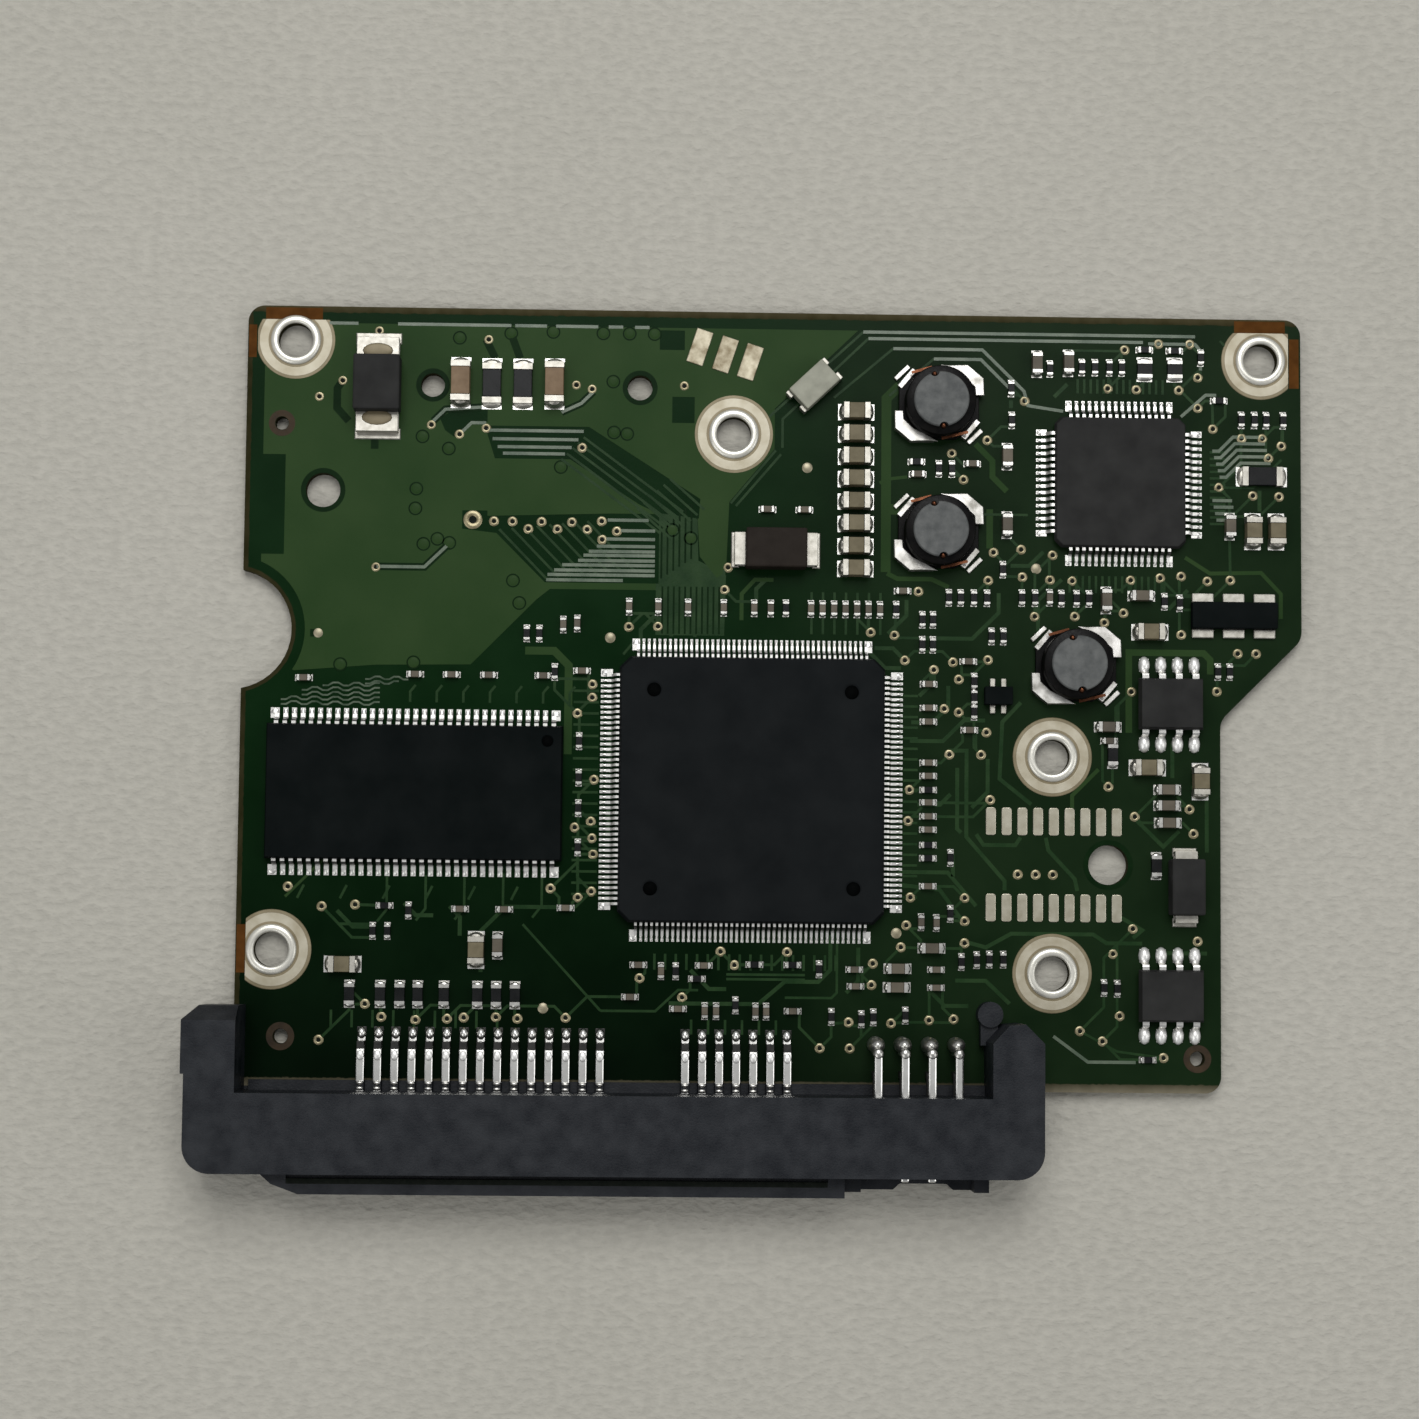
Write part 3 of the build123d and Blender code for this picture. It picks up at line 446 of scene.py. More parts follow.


# ---------------------------------------------------------------- board, copper and vias
# Tracks and outlines are lists of (x, y) points on the layout grid, in mm, read off the photo laid
# flat on that grid, or guessed where it is dark. First the copper pour and the windows in it
POUR = [(-1.8, 27.3), (-1.8, 29.8), (-0.1, 29.8), (-0.1, 37.4), (-1.8, 37.4), (-1.8, 47.5), (43.2, 47.5),
    (36.9, 41.4), (36.9, 38.3), (33.5, 34.2), (33.3, 28.9), (32.6, 28.4), (31.3, 30.0), (31.1, 33.0),
    (31.1, 34.3), (28.0, 33.4), (28.0, 27.4), (20.0, 27.4), (19.0, 26.6), (14.1, 21.6), (7.0, 21.5),
    (0.8, 21.0), (-0.2, 21.6)]
WINDOWS = [[(28.1, 45.8), (30.0, 45.8), (30.0, 47.3), (28.1, 47.3)], [(29.1, 40.2), (30.8, 40.2),
    (30.8, 42.2), (29.1, 42.2)], [(11.5, 40.3), (12.4, 40.9), (15.1, 41.0), (15.1, 40.1), (13.7, 39.9),
    (13.4, 39.3), (12.6, 38.9), (11.9, 39.4)], [(14.9, 39.8), (22.8, 39.8), (31.3, 34.4), (31.2, 32.9),
    (28.0, 33.3), (26.7, 33.9), (21.4, 37.3), (15.7, 37.3)], [(13.3, 33.3), (15.2, 33.3), (15.2, 32.9),
    (24.6, 33.2), (28.2, 33.2), (28.2, 27.9), (19.6, 27.9), (15.9, 31.6), (13.3, 31.9)]]
# wide tracks, each with its width
LIGHT_STRIPS = [([(45.4, 29.0), (45.4, 42.3), (46.4, 43.3)], 0.75), ([(63.9, 17.0), (63.9, 23.1),
    (69.6, 23.1), (70.1, 22.6), (70.1, 21.5)], 0.5), ([(68.2, 30.4), (70.1, 29.2), (74.0, 29.3), (75.5, 27.7),
    (75.5, 25.8)], 0.3), ([(18.2, 22.7), (20.4, 22.7), (21.5, 21.6), (21.5, 14.9)], 0.6), ([(46.4, 33.8),
    (45.2, 33.8)], 0.8), ([(53.3, 33.9), (53.3, 30.9)], 0.5), ([(52.2, 38.9), (53.5, 37.6), (53.5, 36.4),
    (54.6, 35.3)], 0.45), ([(45.5, 28.9), (46.3, 28.5), (48.9, 28.5), (50.2, 27.9)], 0.35), ([(34.5, 25.2),
    (34.5, 27.2), (35.5, 28.3), (36.9, 28.3)], 0.3), ([(60.9, 35.4), (62.0, 40.0)], 0.3), ([(47.0, 36.3),
    (45.4, 36.1), (44.9, 35.8)], 0.25), ([(0.5, 4.0), (4.5, 8.0)], 0.2), ([(59.6, 10.4), (59.6, 12.2),
    (61.6, 14.2)], 0.3)]
# dark clearance round some of the lit tracks
HALOS = [[(6.9, 28.95), (10.5, 28.95), (12.3, 30.7)], [(2.6, 23.85), (2.0, 23.85)], [(20.7, 40.9),
    (22.2, 41.6), (23.1, 42.5)], [(11.0, 40.1), (11.9, 41.0), (14.6, 41.2)], [(4.1, 43.1), (3.7, 42.5),
    (3.7, 41.0), (4.6, 40.0)], [(6.6, 39.0), (6.6, 37.9)], [(14.9, 46.4), (15.6, 45.0)], [(16.9, 46.6),
    (17.5, 45.0)]]
# a patch of copper behind the controller chip, which GAP_LINES divide
MID_PATCH = [(28.0, 24.0), (33.2, 24.0), (33.3, 28.6), (31.2, 29.7), (31.1, 32.8), (28.2, 35.9),
    (28.0, 33.4)]


def ladder(first, step, count, run):
    """Parallel tracks: each is the line run, moved to first and on by step for every one after it."""
    return [[(x + first[0] + step[0] * i, y + first[1] + step[1] * i) for x, y in run] for i in range(count)]


# tracks that catch the light, then dim ones, wavy ones and wide ones between the parts
LIT_TRACKS = [[(43.6, 47.4), (69.0, 47.4)], [(44.0, 46.9), (65.0, 46.9)], [(45.9, 46.15), (52.7, 46.15),
    (55.9, 43.0), (56.2, 41.9), (58.9, 41.5)], [(49.0, 45.4), (52.6, 45.4), (55.0, 43.0)], [(65.4, 46.8),
    (69.0, 46.8), (69.5, 46.2), (69.4, 44.8)], [(67.9, 41.2), (69.8, 42.9), (70.6, 42.9)], [(6.9, 28.95),
    (10.5, 28.95), (12.3, 30.7)], [(11.0, 40.1), (11.9, 41.0), (14.6, 41.2)], [(13.2, 39.3), (13.9, 40.0),
    (15.0, 40.0)], [(20.7, 40.9), (22.2, 41.6), (23.1, 42.5)], [(3.0, 47.5), (5.2, 47.5)], [(8.2, 47.5),
    (16.8, 47.5)], [(17.1, 47.5), (19.5, 47.5)], [(20.2, 47.5), (23.4, 47.5)], [(24.2, 47.5), (25.3, 47.5)],
    [(26.2, 47.5), (27.3, 47.5)], [(19.7, 28.1), (25.5, 28.1)], [(19.8, 28.5), (27.9, 28.5)], [(20.3, 28.85),
    (27.9, 28.85)], [(20.9, 29.25), (27.9, 29.25)], [(22.1, 29.6), (27.9, 29.6)], [(22.5, 30.0),
    (27.9, 30.0)], [(22.9, 30.3), (27.9, 30.3)], [(23.5, 30.7), (27.9, 30.7)], [(24.2, 31.25), (27.9, 31.25)],
    [(25.2, 31.9), (27.9, 31.9)], [(24.3, 32.7), (27.4, 32.7)], [(15.1, 39.45), (22.4, 39.45)], [(15.5, 38.8),
    (22.0, 38.8)], [(15.9, 38.2), (21.5, 38.2)], [(16.3, 37.7), (21.0, 37.7)], [(58.2, -5.9), (60.8, -7.8),
    (64.4, -7.8)]]
LIT_TRACKS += ladder((70.3, 38.6), (0.14, -0.5), 5, [(0, 0), (0.5, 0), (1.6, 1.1), (3.9, 1.1)])
LIT_TRACKS += ladder((70.3, 34.8), (0.1, -0.5), 4, [(0, 0), (1.5, 0)])
DIM_TRACKS = [[(43.6, 47.4), (36.3, 40.6)], [(44.0, 46.9), (37.5, 40.6), (37.5, 38.4)], [(45.9, 46.15),
    (41.4, 42.3)], [(49.0, 45.4), (45.6, 42.5)], [(37.0, 38.2), (33.6, 34.1)], [(37.4, 37.9), (34.0, 33.9)],
    [(24.2, -4.3), (28.3, -4.3), (30.0, -2.7), (31.5, -2.7)], [(18.3, 2.1), (24.2, -4.3)], [(33.6, -1.5),
    (39.5, -1.5)], [(33.6, -1.85), (39.5, -1.85)], [(38.0, -3.2), (41.5, -3.2), (41.9, -2.8), (41.9, 3.2)],
    [(26.5, 23.6), (25.6, 22.5)], [(52.0, 33.5), (56.2, 33.5)], [(59.0, 46.2), (63.6, 46.2)], [(70.9, 47.1),
    (72.0, 46.0)], [(70.5, 35.8), (73.4, 35.8), (75.6, 38.0)], [(66.5, -7.45), (63.0, -7.0), (60.2, -5.5)]]
for bundle in (                 # rows of short tracks at the chips' leads, the vias and the connector
        ((22.4, 39.0), (-0.42, -0.42), 5, [(0, 0), (7.6, -5.6)]),
        ((16.1, 31.9), (0.95, 0.1), 8, [(0, 0), (3.6, -3.7)]),
        ((31.6, 33.6), (-0.5, -0.45), 6, [(0, 0), (-2.6, 2.3)]),
        ((7.4, 2.2), (2.9, 0.1), 5, [(0, 0), (0.7, 0.9), (0.7, 3.4)]),
        ((4.1, -4.4), (1.55, 0.0), 9, [(0, 0), (0, -1.3)]),
        ((31.0, -4.9), (1.27, 0.0), 6, [(0, 0), (0.0, -1.1)]),
        ((9.6, 18.7), (2.0, 0.0), 7, [(0, 0), (0, 0.8), (0.4, 1.3)]),
        ((1.9, 4.9), (3.2, 0.0), 6, [(0, 0), (-0.5, -1.0)]),
        ((28.2, 0.0), (0.8, 0.0), 18, [(0, 0), (0, -1.2)]),
        ((46.8, 4.4), (0.0, 0.8), 20, [(0, 0), (1.1, 0)]),
        ((21.9, 4.4), (0.0, 0.85), 19, [(0, 0), (1.9, 0)]),
        ((39.8, 24.2), (0.87, 0.0), 7, [(0, 0), (0, 3.2)]),
        ((60.0, 42.9), (0.5, 0.0), 14, [(0, 0), (0, 1.1)]),
        ((70.1, 33.0), (0.0, 0.5), 12, [(0, 0), (1.2, 0)]),
        ((59.4, 28.9), (0.5, 0.0), 15, [(0, 0), (0, -1.3)])):
    DIM_TRACKS += ladder(*bundle)
GAP_LINES = ladder((28.5, 24.1), (0.43, 0.0), 11, [(0, 0), (0, 3.6)])
GAP_LINES += ladder((28.4, 28.3), (0.45, 0.3), 6, [(0, 0), (0, 4.2)])


def meander(x, y, wave, step, count):
    """A track that bends up and down by wave at every second step."""
    line = []
    for i in range(count):
        high = y + (wave if i % 2 else 0.0)
        line += [(x + 2 * step * i, high), (x + 2 * step * i + step, high)]
    return line


MEANDERS = [meander(-0.1 + 1.56 * (i // 2), 18.45 + 0.36 * i, 0.22, 0.39, 10 - 2 * (i // 2))
            for i in range(5)]
MEANDERS += [meander(6.2, 20.4 - 0.34 * i, 0.20, 0.36, 5 - i) for i in range(2)]
MID_TRACKS = [[(50.2, 15.5), (51.6, 15.5), (51.6, 9.0), (54.5, 5.7), (54.5, 5.0)], [(52.35, 9.2), (52.9, 8.4),
    (55.3, 8.4), (55.7, 9.0)], [(57.6, 9.0), (57.8, 8.05), (59.8, 5.9), (60.0, 5.0)], [(55.7, 19.2),
    (54.3, 17.7), (54.1, 13.4), (56.5, 11.5)], [(64.5, 10.35), (66.5, 8.4), (67.7, 9.6)], [(63.3, 3.05),
    (64.9, 2.1), (64.2, 1.5)], [(46.5, 6.3), (50.2, 6.3), (52.35, 3.8)], [(51.6, 1.1), (53.1, 0.7),
    (55.0, 1.75), (61.2, 1.75), (62.2, 1.1), (64.9, 1.1)], [(50.8, -1.8), (53.1, -1.8), (54.9, -3.5)],
    [(46.5, 5.35), (49.6, 5.0), (51.6, 2.3)], [(15.2, -1.5), (15.2, 1.6), (17.0, 3.4), (21.6, 3.4)],
    [(13.8, 24.9), (15.4, 26.4), (18.2, 26.4)], [(29.3, -3.7), (36.0, -3.7), (38.0, -2.0), (40.5, -2.0),
    (41.4, -1.1), (41.4, 1.5)], [(50.6, 7.7), (50.6, 6.0)], [(48.2, 24.0), (52.0, 24.0), (54.0, 26.0),
    (54.0, 27.5)], [(57.0, 24.3), (57.0, 27.0), (58.8, 28.6)], [(26.9, 22.6), (26.9, 24.4), (28.3, 25.8)],
    [(35.6, 26.0), (35.6, 27.6), (36.4, 28.4)], [(46.9, 22.3), (46.0, 23.2), (44.6, 23.2)], [(47.4, 17.6),
    (49.0, 17.6), (50.2, 18.8), (50.2, 20.4)], [(47.3, 16.2), (49.8, 16.2), (51.4, 17.8), (53.0, 17.8)],
    [(53.2, 14.9), (53.2, 12.4), (52.0, 11.2)], [(63.0, 31.5), (64.4, 31.5), (65.6, 30.3)], [(59.0, 30.2),
    (60.4, 30.2), (61.2, 31.0)], [(12.8, 3.4), (13.6, 2.6), (13.6, 1.2)], [(9.4, 3.6), (10.3, 2.7),
    (11.6, 2.7)], [(4.4, 3.0), (5.6, 1.8), (7.0, 1.8)], [(24.6, 11.0), (24.6, 8.8)], [(24.7, 16.8),
    (24.7, 14.2)], [(50.9, 14.2), (50.9, 9.6), (51.2, 9.3)], [(29.2, 23.9), (29.2, 27.9), (30.0, 28.7)],
    [(31.0, 23.9), (31.0, 28.4)], [(45.6, 24.3), (47.0, 25.7), (47.0, 26.9)], [(43.9, 23.2), (45.4, 21.7),
    (46.6, 21.7)], [(54.9, 29.6), (56.3, 29.6), (57.4, 30.7)], [(48.0, 19.6), (48.9, 20.5), (48.9, 21.6)],
    [(47.9, 11.4), (49.6, 11.4), (50.4, 12.2)], [(30.9, -1.2), (32.3, -2.6), (33.6, -2.6)], [(43.5, 0.6),
    (43.5, -1.9), (42.6, -2.8)], [(48.9, -2.6), (50.0, -3.7), (51.8, -3.7)], [(54.9, 41.7), (54.9, 42.3)],
    [(66.9, 26.4), (68.4, 27.9)], [(73.9, 34.0), (73.9, 35.6)], [(59.2, 43.6), (58.2, 42.6)], [(67.2, 13.6),
    (67.2, 16.2)], [(68.6, 12.9), (69.8, 12.9), (69.8, 8.0)], [(66.0, 0.4), (69.8, 0.4)]]


OPEN_VIAS = [(6.8, 46.95), (4.1, 43.1), (2.35, 41.85), (10.85, 39.8), (13.0, 39.1), (15.1, 46.4),
    (15.0, 39.6), (15.7, 32.5), (17.1, 32.5), (18.3, 31.95), (19.3, 32.5), (20.5, 31.95), (21.6, 32.5),
    (22.75, 31.95), (23.85, 32.6), (25.0, 31.85), (23.9, 31.2), (6.85, 28.9), (21.8, 43.0), (23.0, 42.7),
    (30.0, 43.05), (22.3, 38.2), (26.0, 24.6), (28.2, 24.65), (33.45, 29.2), (33.2, 27.5), (22.2, 18.0),
    (23.3, 20.2), (23.3, 19.2), (44.3, 24.4), (46.1, 24.2), (46.9, 22.3), (49.1, 21.6), (51.0, 20.9),
    (51.0, 18.4), (47.9, 27.55), (53.2, 28.45), (53.6, 30.6), (55.7, 30.85), (55.8, 28.75), (56.75, 25.75),
    (50.55, 22.2), (53.2, 22.4), (53.1, 16.9), (49.9, 18.65), (58.1, 30.45), (57.9, 28.55), (59.6, 28.5),
    (59.8, 25.8), (62.05, 25.35), (63.5, 26.1), (64.05, 28.6), (66.3, 28.8), (67.9, 28.95), (69.9, 28.6),
    (71.65, 28.7), (72.2, 23.1), (73.6, 23.1), (67.9, 24.5), (64.1, 20.1), (70.6, 20.2), (63.6, 46.3),
    (66.2, 46.8), (68.6, 46.8), (62.3, 43.3), (64.5, 43.25), (67.75, 43.25), (69.2, 44.25), (69.2, 41.9),
    (70.35, 40.3), (72.55, 39.6), (74.15, 39.6), (75.6, 39.05), (74.6, 38.1), (73.4, 35.2), (75.4, 35.15),
    (70.8, 35.8), (53.1, 39.2), (50.4, 38.15), (51.3, 36.15), (55.95, 42.25), (0.7, 4.75), (3.25, 3.3),
    (5.75, 3.45), (20.35, 4.8), (22.4, 4.15), (23.4, 4.6), (23.5, 13.0), (23.3, 9.85), (22.1, 9.4),
    (23.4, 8.6), (23.5, 7.4), (33.15, 0.2), (34.2, -0.8), (38.15, 0.2), (50.3, 15.2), (52.7, 15.2),
    (47.3, 12.5), (47.2, 10.15), (53.4, 11.8), (55.5, 6.2), (56.85, 6.2), (58.15, 6.2), (47.4, 4.4),
    (51.5, 4.4), (51.5, 2.65), (51.5, 1.0), (47.1, 2.3), (46.7, 0.65), (44.6, -0.6), (62.35, 12.9),
    (64.35, 10.65), (68.5, 11.25), (68.8, 9.4), (64.2, 2.2), (69.1, 1.3), (62.7, 0.3), (3.2, -6.65),
    (6.6, -3.95), (7.85, -4.9), (10.4, -5.1), (12.75, -5.0), (14.0, -4.9), (16.4, -4.85), (18.0, -4.95),
    (21.6, -4.85), (27.1, -1.85), (30.3, -3.25), (42.8, -5.0), (46.0, -5.05), (48.85, -4.8), (50.7, -4.7),
    (44.5, -2.2), (40.65, -6.95), (42.9, -6.95), (60.2, -5.5), (61.9, -6.25), (63.2, -4.35), (66.5, -7.45)]
LARGE_VIA = (14.1, 32.6, 0.72, 0.28)    # with its outer and inner radius
TENTED_VIAS = [(12.9, 46.5), (10.2, 38.9), (12.2, 38.0), (9.8, 34.9), (9.75, 33.4), (10.4, 30.7),
    (11.45, 31.1), (12.35, 30.8), (17.2, 28.0), (17.7, 26.3), (20.7, 36.7), (24.6, 43.3), (24.7, 39.4),
    (25.7, 39.3), (16.8, 46.9), (20.0, 47.05), (23.8, 47.0), (25.8, 47.0), (27.7, 47.0), (4.3, 21.5),
    (9.8, 21.7), (29.2, 32.0), (30.6, 31.4)]
TEST_DOTS = [(39.4, 36.9), (24.6, 23.75), (46.35, 1.7), (56.85, 29.4), (19.9, -4.15), (2.6, 23.85)]
# bare laminate along the board's edges
BARE_AREAS = [[(-3.05, -1.7), (-2.4, -1.7), (-2.4, 1.9), (-3.05, 1.9)], [(-1.8, 47.75), (2.5, 47.75),
    (2.5, 48.65), (-1.8, 48.65)], [(-3.05, 44.8), (-2.45, 44.8), (-2.45, 47.3), (-3.05, 47.3)],
    [(72.0, 47.75), (75.9, 47.75), (75.9, 48.65), (72.0, 48.65)], [(76.2, 43.5), (76.95, 43.5), (76.95, 47.3),
    (76.2, 47.3)]]


def sheet_piece(name, outlines, high, material):
    """A thin flat film with holes where the board has them and in its own windows."""
    film, cutter = bmesh.new(), bmesh.new()
    for outline in outlines:
        add_prism(film, outline, TOP, high)
    low, above = TOP - 1, high + 1
    for x, y, r in HOLES:
        add_lathe(cutter, x, y, [(0, low), (r + 0.02, low), (r + 0.02, above), (0, above)], 40)
    for outline in WINDOWS:
        add_prism(cutter, outline, low, above)
    clear = NOTCH[2] + NOTCH_BAND
    add_lathe(cutter, *NOTCH[:2], [(0, low), (clear, low), (clear, above), (0, above)], 64)
    carve(piece(name, film, material), cutter)


def lay_tracks(name, tracks, width, height, material, layers=TRACK_LAYERS):
    """Flat tracks as one piece, at as many slightly different heights as there are layers."""
    bm = bmesh.new()
    for i, points in enumerate(tracks):
        add_strip(bm, points, width, TOP, TOP + height + TRACK_LIFT * (i % layers))
    piece(name, bm, material)


def dress_board():
    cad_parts["circuit_board"].data.materials.clear()
    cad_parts["circuit_board"].data.materials.append(MATERIALS["board_mask"])
    sheet_piece("copper_pour", [POUR], TOP + 0.020, "pour_mask")
    sheet_piece("copper_strips", [MID_PATCH], TOP + 0.016, "track_mask")
    bm = bmesh.new()
    for i, (points, width) in enumerate(LIGHT_STRIPS):
        add_strip(bm, points, width, TOP, TOP + 0.018 + TRACK_LIFT * i)
    piece("wide_tracks", bm, "pour_mask")
    lay_tracks("lit_tracks", LIT_TRACKS, 0.24, 0.032, "track_lit")
    lay_tracks("dim_tracks", DIM_TRACKS, 0.19, 0.026, "track_mask")
    lay_tracks("mid_tracks", MID_TRACKS, 0.3, 0.018, "track_mask")
    lay_tracks("meander_tracks", MEANDERS, 0.13, 0.030, "track_pale")
    lay_tracks("via_tracks", via_tracks(), 0.21, 0.022, "track_mask")
    lay_tracks("track_halos", HALOS, 0.58, 0.023, "ring_mask", 1)
    lay_tracks("gap_lines", GAP_LINES, 0.14, 0.024, "ring_mask", 1)
    bm = bmesh.new()
    for outline in BARE_AREAS:
        add_prism(bm, outline, TOP, TOP + 0.012)
    piece("bare_laminate_areas", bm, "bare_laminate")
    for name, holes, wide, material in (("locating_hole_rings", HOLES[6:10], 0.38, "ring_mask"),
                                        ("tooling_hole_rings", HOLES[10:], 0.5, "bare_ring")):
        bm = bmesh.new()
        for x, y, r in holes:
            add_lathe(bm, x, y, [(r + 0.02, TOP), (r + wide, TOP), (r + wide, TOP + 0.024),
                                 (r + 0.02, TOP + 0.024)], 40, True)
        piece(name, bm, material)


def via_tracks():
    """Short tracks, bent at 45 degrees, from each via to the nearest and third-nearest small chip's end."""
    ends = []
    for node in ("small_resistors", "small_capacitors"):
        for (cx, cy, _), size in islands(node):
            half = max(size[0], size[1]) / 2
            ends += [(cx, cy + s * half) if size[1] > size[0] else (cx + s * half, cy) for s in (-1, 1)]
    tracks = []
    for via in OPEN_VIAS:
        ordered = sorted(ends, key=lambda e: math.dist(e, via))
        for end in (ordered[0], ordered[2]):
            if not 0.7 < math.dist(end, via) < 5.0:
                continue
            dx, dy = end[0] - via[0], end[1] - via[1]
            skew = min(abs(dx), abs(dy))
            bend = (via[0] + math.copysign(skew, dx), via[1] + math.copysign(skew, dy))
            line = [via, bend, end]
            tracks.append([p for i, p in enumerate(line) if not i or math.dist(p, line[i - 1]) > 0.15])
    return [t for t in tracks if len(t) > 1]


def dress_vias():
    rings, wells, bumps, moats, dots = (bmesh.new() for _ in range(5))
    for x, y, outer, inner in [(*via, 0.38, 0.15) for via in OPEN_VIAS] + [LARGE_VIA]:
        add_lathe(rings, x, y, [(inner, TOP + 0.010), (inner + 0.03, TOP + 0.040),
                                (outer - 0.08, TOP + 0.045), (outer, TOP)], 16)
        # a black disc of painted shade in each via hole
        add_lathe(wells, x, y, [(0, TOP + 0.030), (inner + 0.02, TOP + 0.030), (inner + 0.02, TOP),
                                (0, TOP)], 12)
    for x, y in TENTED_VIAS:
        add_lathe(bumps, x, y, [(0, TOP + 0.044), (0.2, TOP + 0.042), (0.36, TOP + 0.032), (0.42, TOP)], 18)
        add_lathe(moats, x, y, [(0.42, TOP), (0.55, TOP), (0.53, TOP + 0.024), (0.42, TOP + 0.024)], 20, True)
    for x, y in TEST_DOTS:
        add_lathe(dots, x, y, [(0, TOP + 0.07), (0.2, TOP + 0.06), (0.34, TOP + 0.03), (0.4, TOP)], 16)
    piece("open_via_rings", rings, "gold_tin", smooth=True)
    piece("open_via_wells", wells, "painted_deep_shade")
    piece("tented_vias", bumps, "pour_mask", smooth=True)
    piece("tented_via_moats", moats, "ring_mask")
    piece("test_dots", dots, "pad_tin", smooth=True)


# ---------------------------------------------------------------- chips with leads
def add_body(bm, centre, size, c, draft):
    """A moulded package: widest half way up, with its upright corners clipped by c."""
    cx, cy, cz = centre
    rings = []
    for z, inset in ((cz - size[2] / 2, draft), (cz, 0.0), (cz + size[2] / 2, draft)):
        lx, ly = size[0] / 2 - inset, size[1] / 2 - inset
        outline = [(-lx + c, -ly), (lx - c, -ly), (lx, -ly + c), (lx, ly - c), (lx - c, ly), (-lx + c, ly),
                   (-lx, ly - c), (-lx, -ly + c)]
        rings.append(ring(bm, [(cx + x, cy + y) for x, y in outline], z))
    skin(bm, rings)


def moulded_chip(name, material, clip, draft, dimples=(), r=0.0):
    """A package with dimples of radius r in its top; returns its centre and size."""
    node = name + "_body"
    bm = bmesh.new()
    centre, size = node_box(node)
    add_body(bm, centre, size, clip, draft)
    obj = piece(node + "_shaped", bm, material, [node])
    if dimples:
        top = centre[2] + size[2] / 2
        cutter, floor = bmesh.new(), bmesh.new()
        for x, y in dimples:
            add_lathe(cutter, x, y, [(0, top - 0.09), (r * 0.8, top - 0.08), (r, top + 0.02), (r, top + 0.2),
                                     (0, top + 0.2)], 32)
            add_lathe(floor, x, y, [(0, top - 0.075), (r * 0.86, top - 0.065), (r * 0.86, top - 0.085)], 32)
        carve(obj, cutter)
        piece(name + "_dimple_floors", floor, "dimple", smooth=True)
    soften(obj, 0.06)
    return centre, size


def out_turn(centre, body):
    """Which way a lead points from its package: the turn about Z, from +Y."""
    dx = (centre[0] - body[0][0]) / body[1][0]
    dy = (centre[1] - body[0][1]) / body[1][1]
    if abs(dx) > abs(dy):
        return -90 if dx > 0 else 90
    return 0 if dy > 0 else 180


def leads_and_pads(name, body, width, pad_width, pad_out, corner_pad, heap=0.0):
    """Gull-wing leads in the places of the CAD ones, each on a pad that stands out by pad_out.

    The pads at the ends of a row are as wide as corner_pad; heap is the height of a large blob of solder.
    """
    node = name + "_leads"
    leads, pads, necks, heaps = (bmesh.new() for _ in range(4))
    found = [(centre, size, out_turn(centre, body)) for centre, size in islands(node)]
    for centre, size, turn in found:
        out, side = (1, 0) if turn in (0, 180) else (0, 1)      # the axes along the lead and across it
        reach, offset = size[out], centre[side] - body[0][side]
        ux, uy = -math.sin(math.radians(turn)), math.cos(math.radians(turn))
        root = (centre[0] - ux * reach / 2, centre[1] - uy * reach / 2)
        top, foot, t = centre[2] + size[2] / 2, TOP + 0.02, 0.11
        add_profile(leads, root, turn, width, [
            (-0.02, top - t), (-0.02, top), (reach * 0.22, top), (reach * 0.34, top - 0.05),
            (reach * 0.52, foot + t + 0.05), (reach * 0.62, foot + t), (reach - 0.03, foot + t * 0.9),
            (reach, foot), (reach * 0.55, foot), (reach * 0.42, foot + 0.06),
            (reach * 0.26, top - t - 0.03)])
        # painted shade: a dark strip over the bend of each short lead
        if out == 1 and reach < SHORT_LEAD:
            add_profile(necks, root, turn, width * 1.05,
                        [(reach * 0.24, top - t), (reach * 0.24, top + 0.012), (reach * 0.36, top - 0.030),
                         (reach * 0.50, foot + t + 0.085), (reach * 0.50, foot + t)])
        edge = max(abs(c[side] - body[0][side]) for c, _, other in found if other == turn)
        wide = corner_pad if abs(offset) > edge - 0.05 else pad_width
        shift = [0.0, 0.0]
        shift[side] = math.copysign(wide - pad_width, offset) / 2

        def along(distance):
            return root[0] + ux * distance + shift[0], root[1] + uy * distance + shift[1]

        length = reach * 0.5 + pad_out
        add_box(pads, *along(reach * 0.5 + length / 2), wide, length, TOP, TOP + 0.04, turn, 0.02)
        if heap:
            add_dome(heaps, *along(reach - 0.02), 0.68, wide * 0.6, TOP + 0.02, heap, turn + 90, 20, 6)
        else:
            add_dome(pads, *along(reach - 0.02), pad_out * 0.92, wide * 0.46, TOP + 0.03, 0.12, turn + 90,
                     8, 3, True)
    piece(node + "_bent", leads, "lead_tin", [node])
    if necks.verts:
        piece(name + "_lead_necks", necks, "painted_metal_shade")
    if heap:
        piece(name + "_solder_heaps", heaps, "solder", smooth=True)
    piece(name + "_solder", pads, "lead_tin")


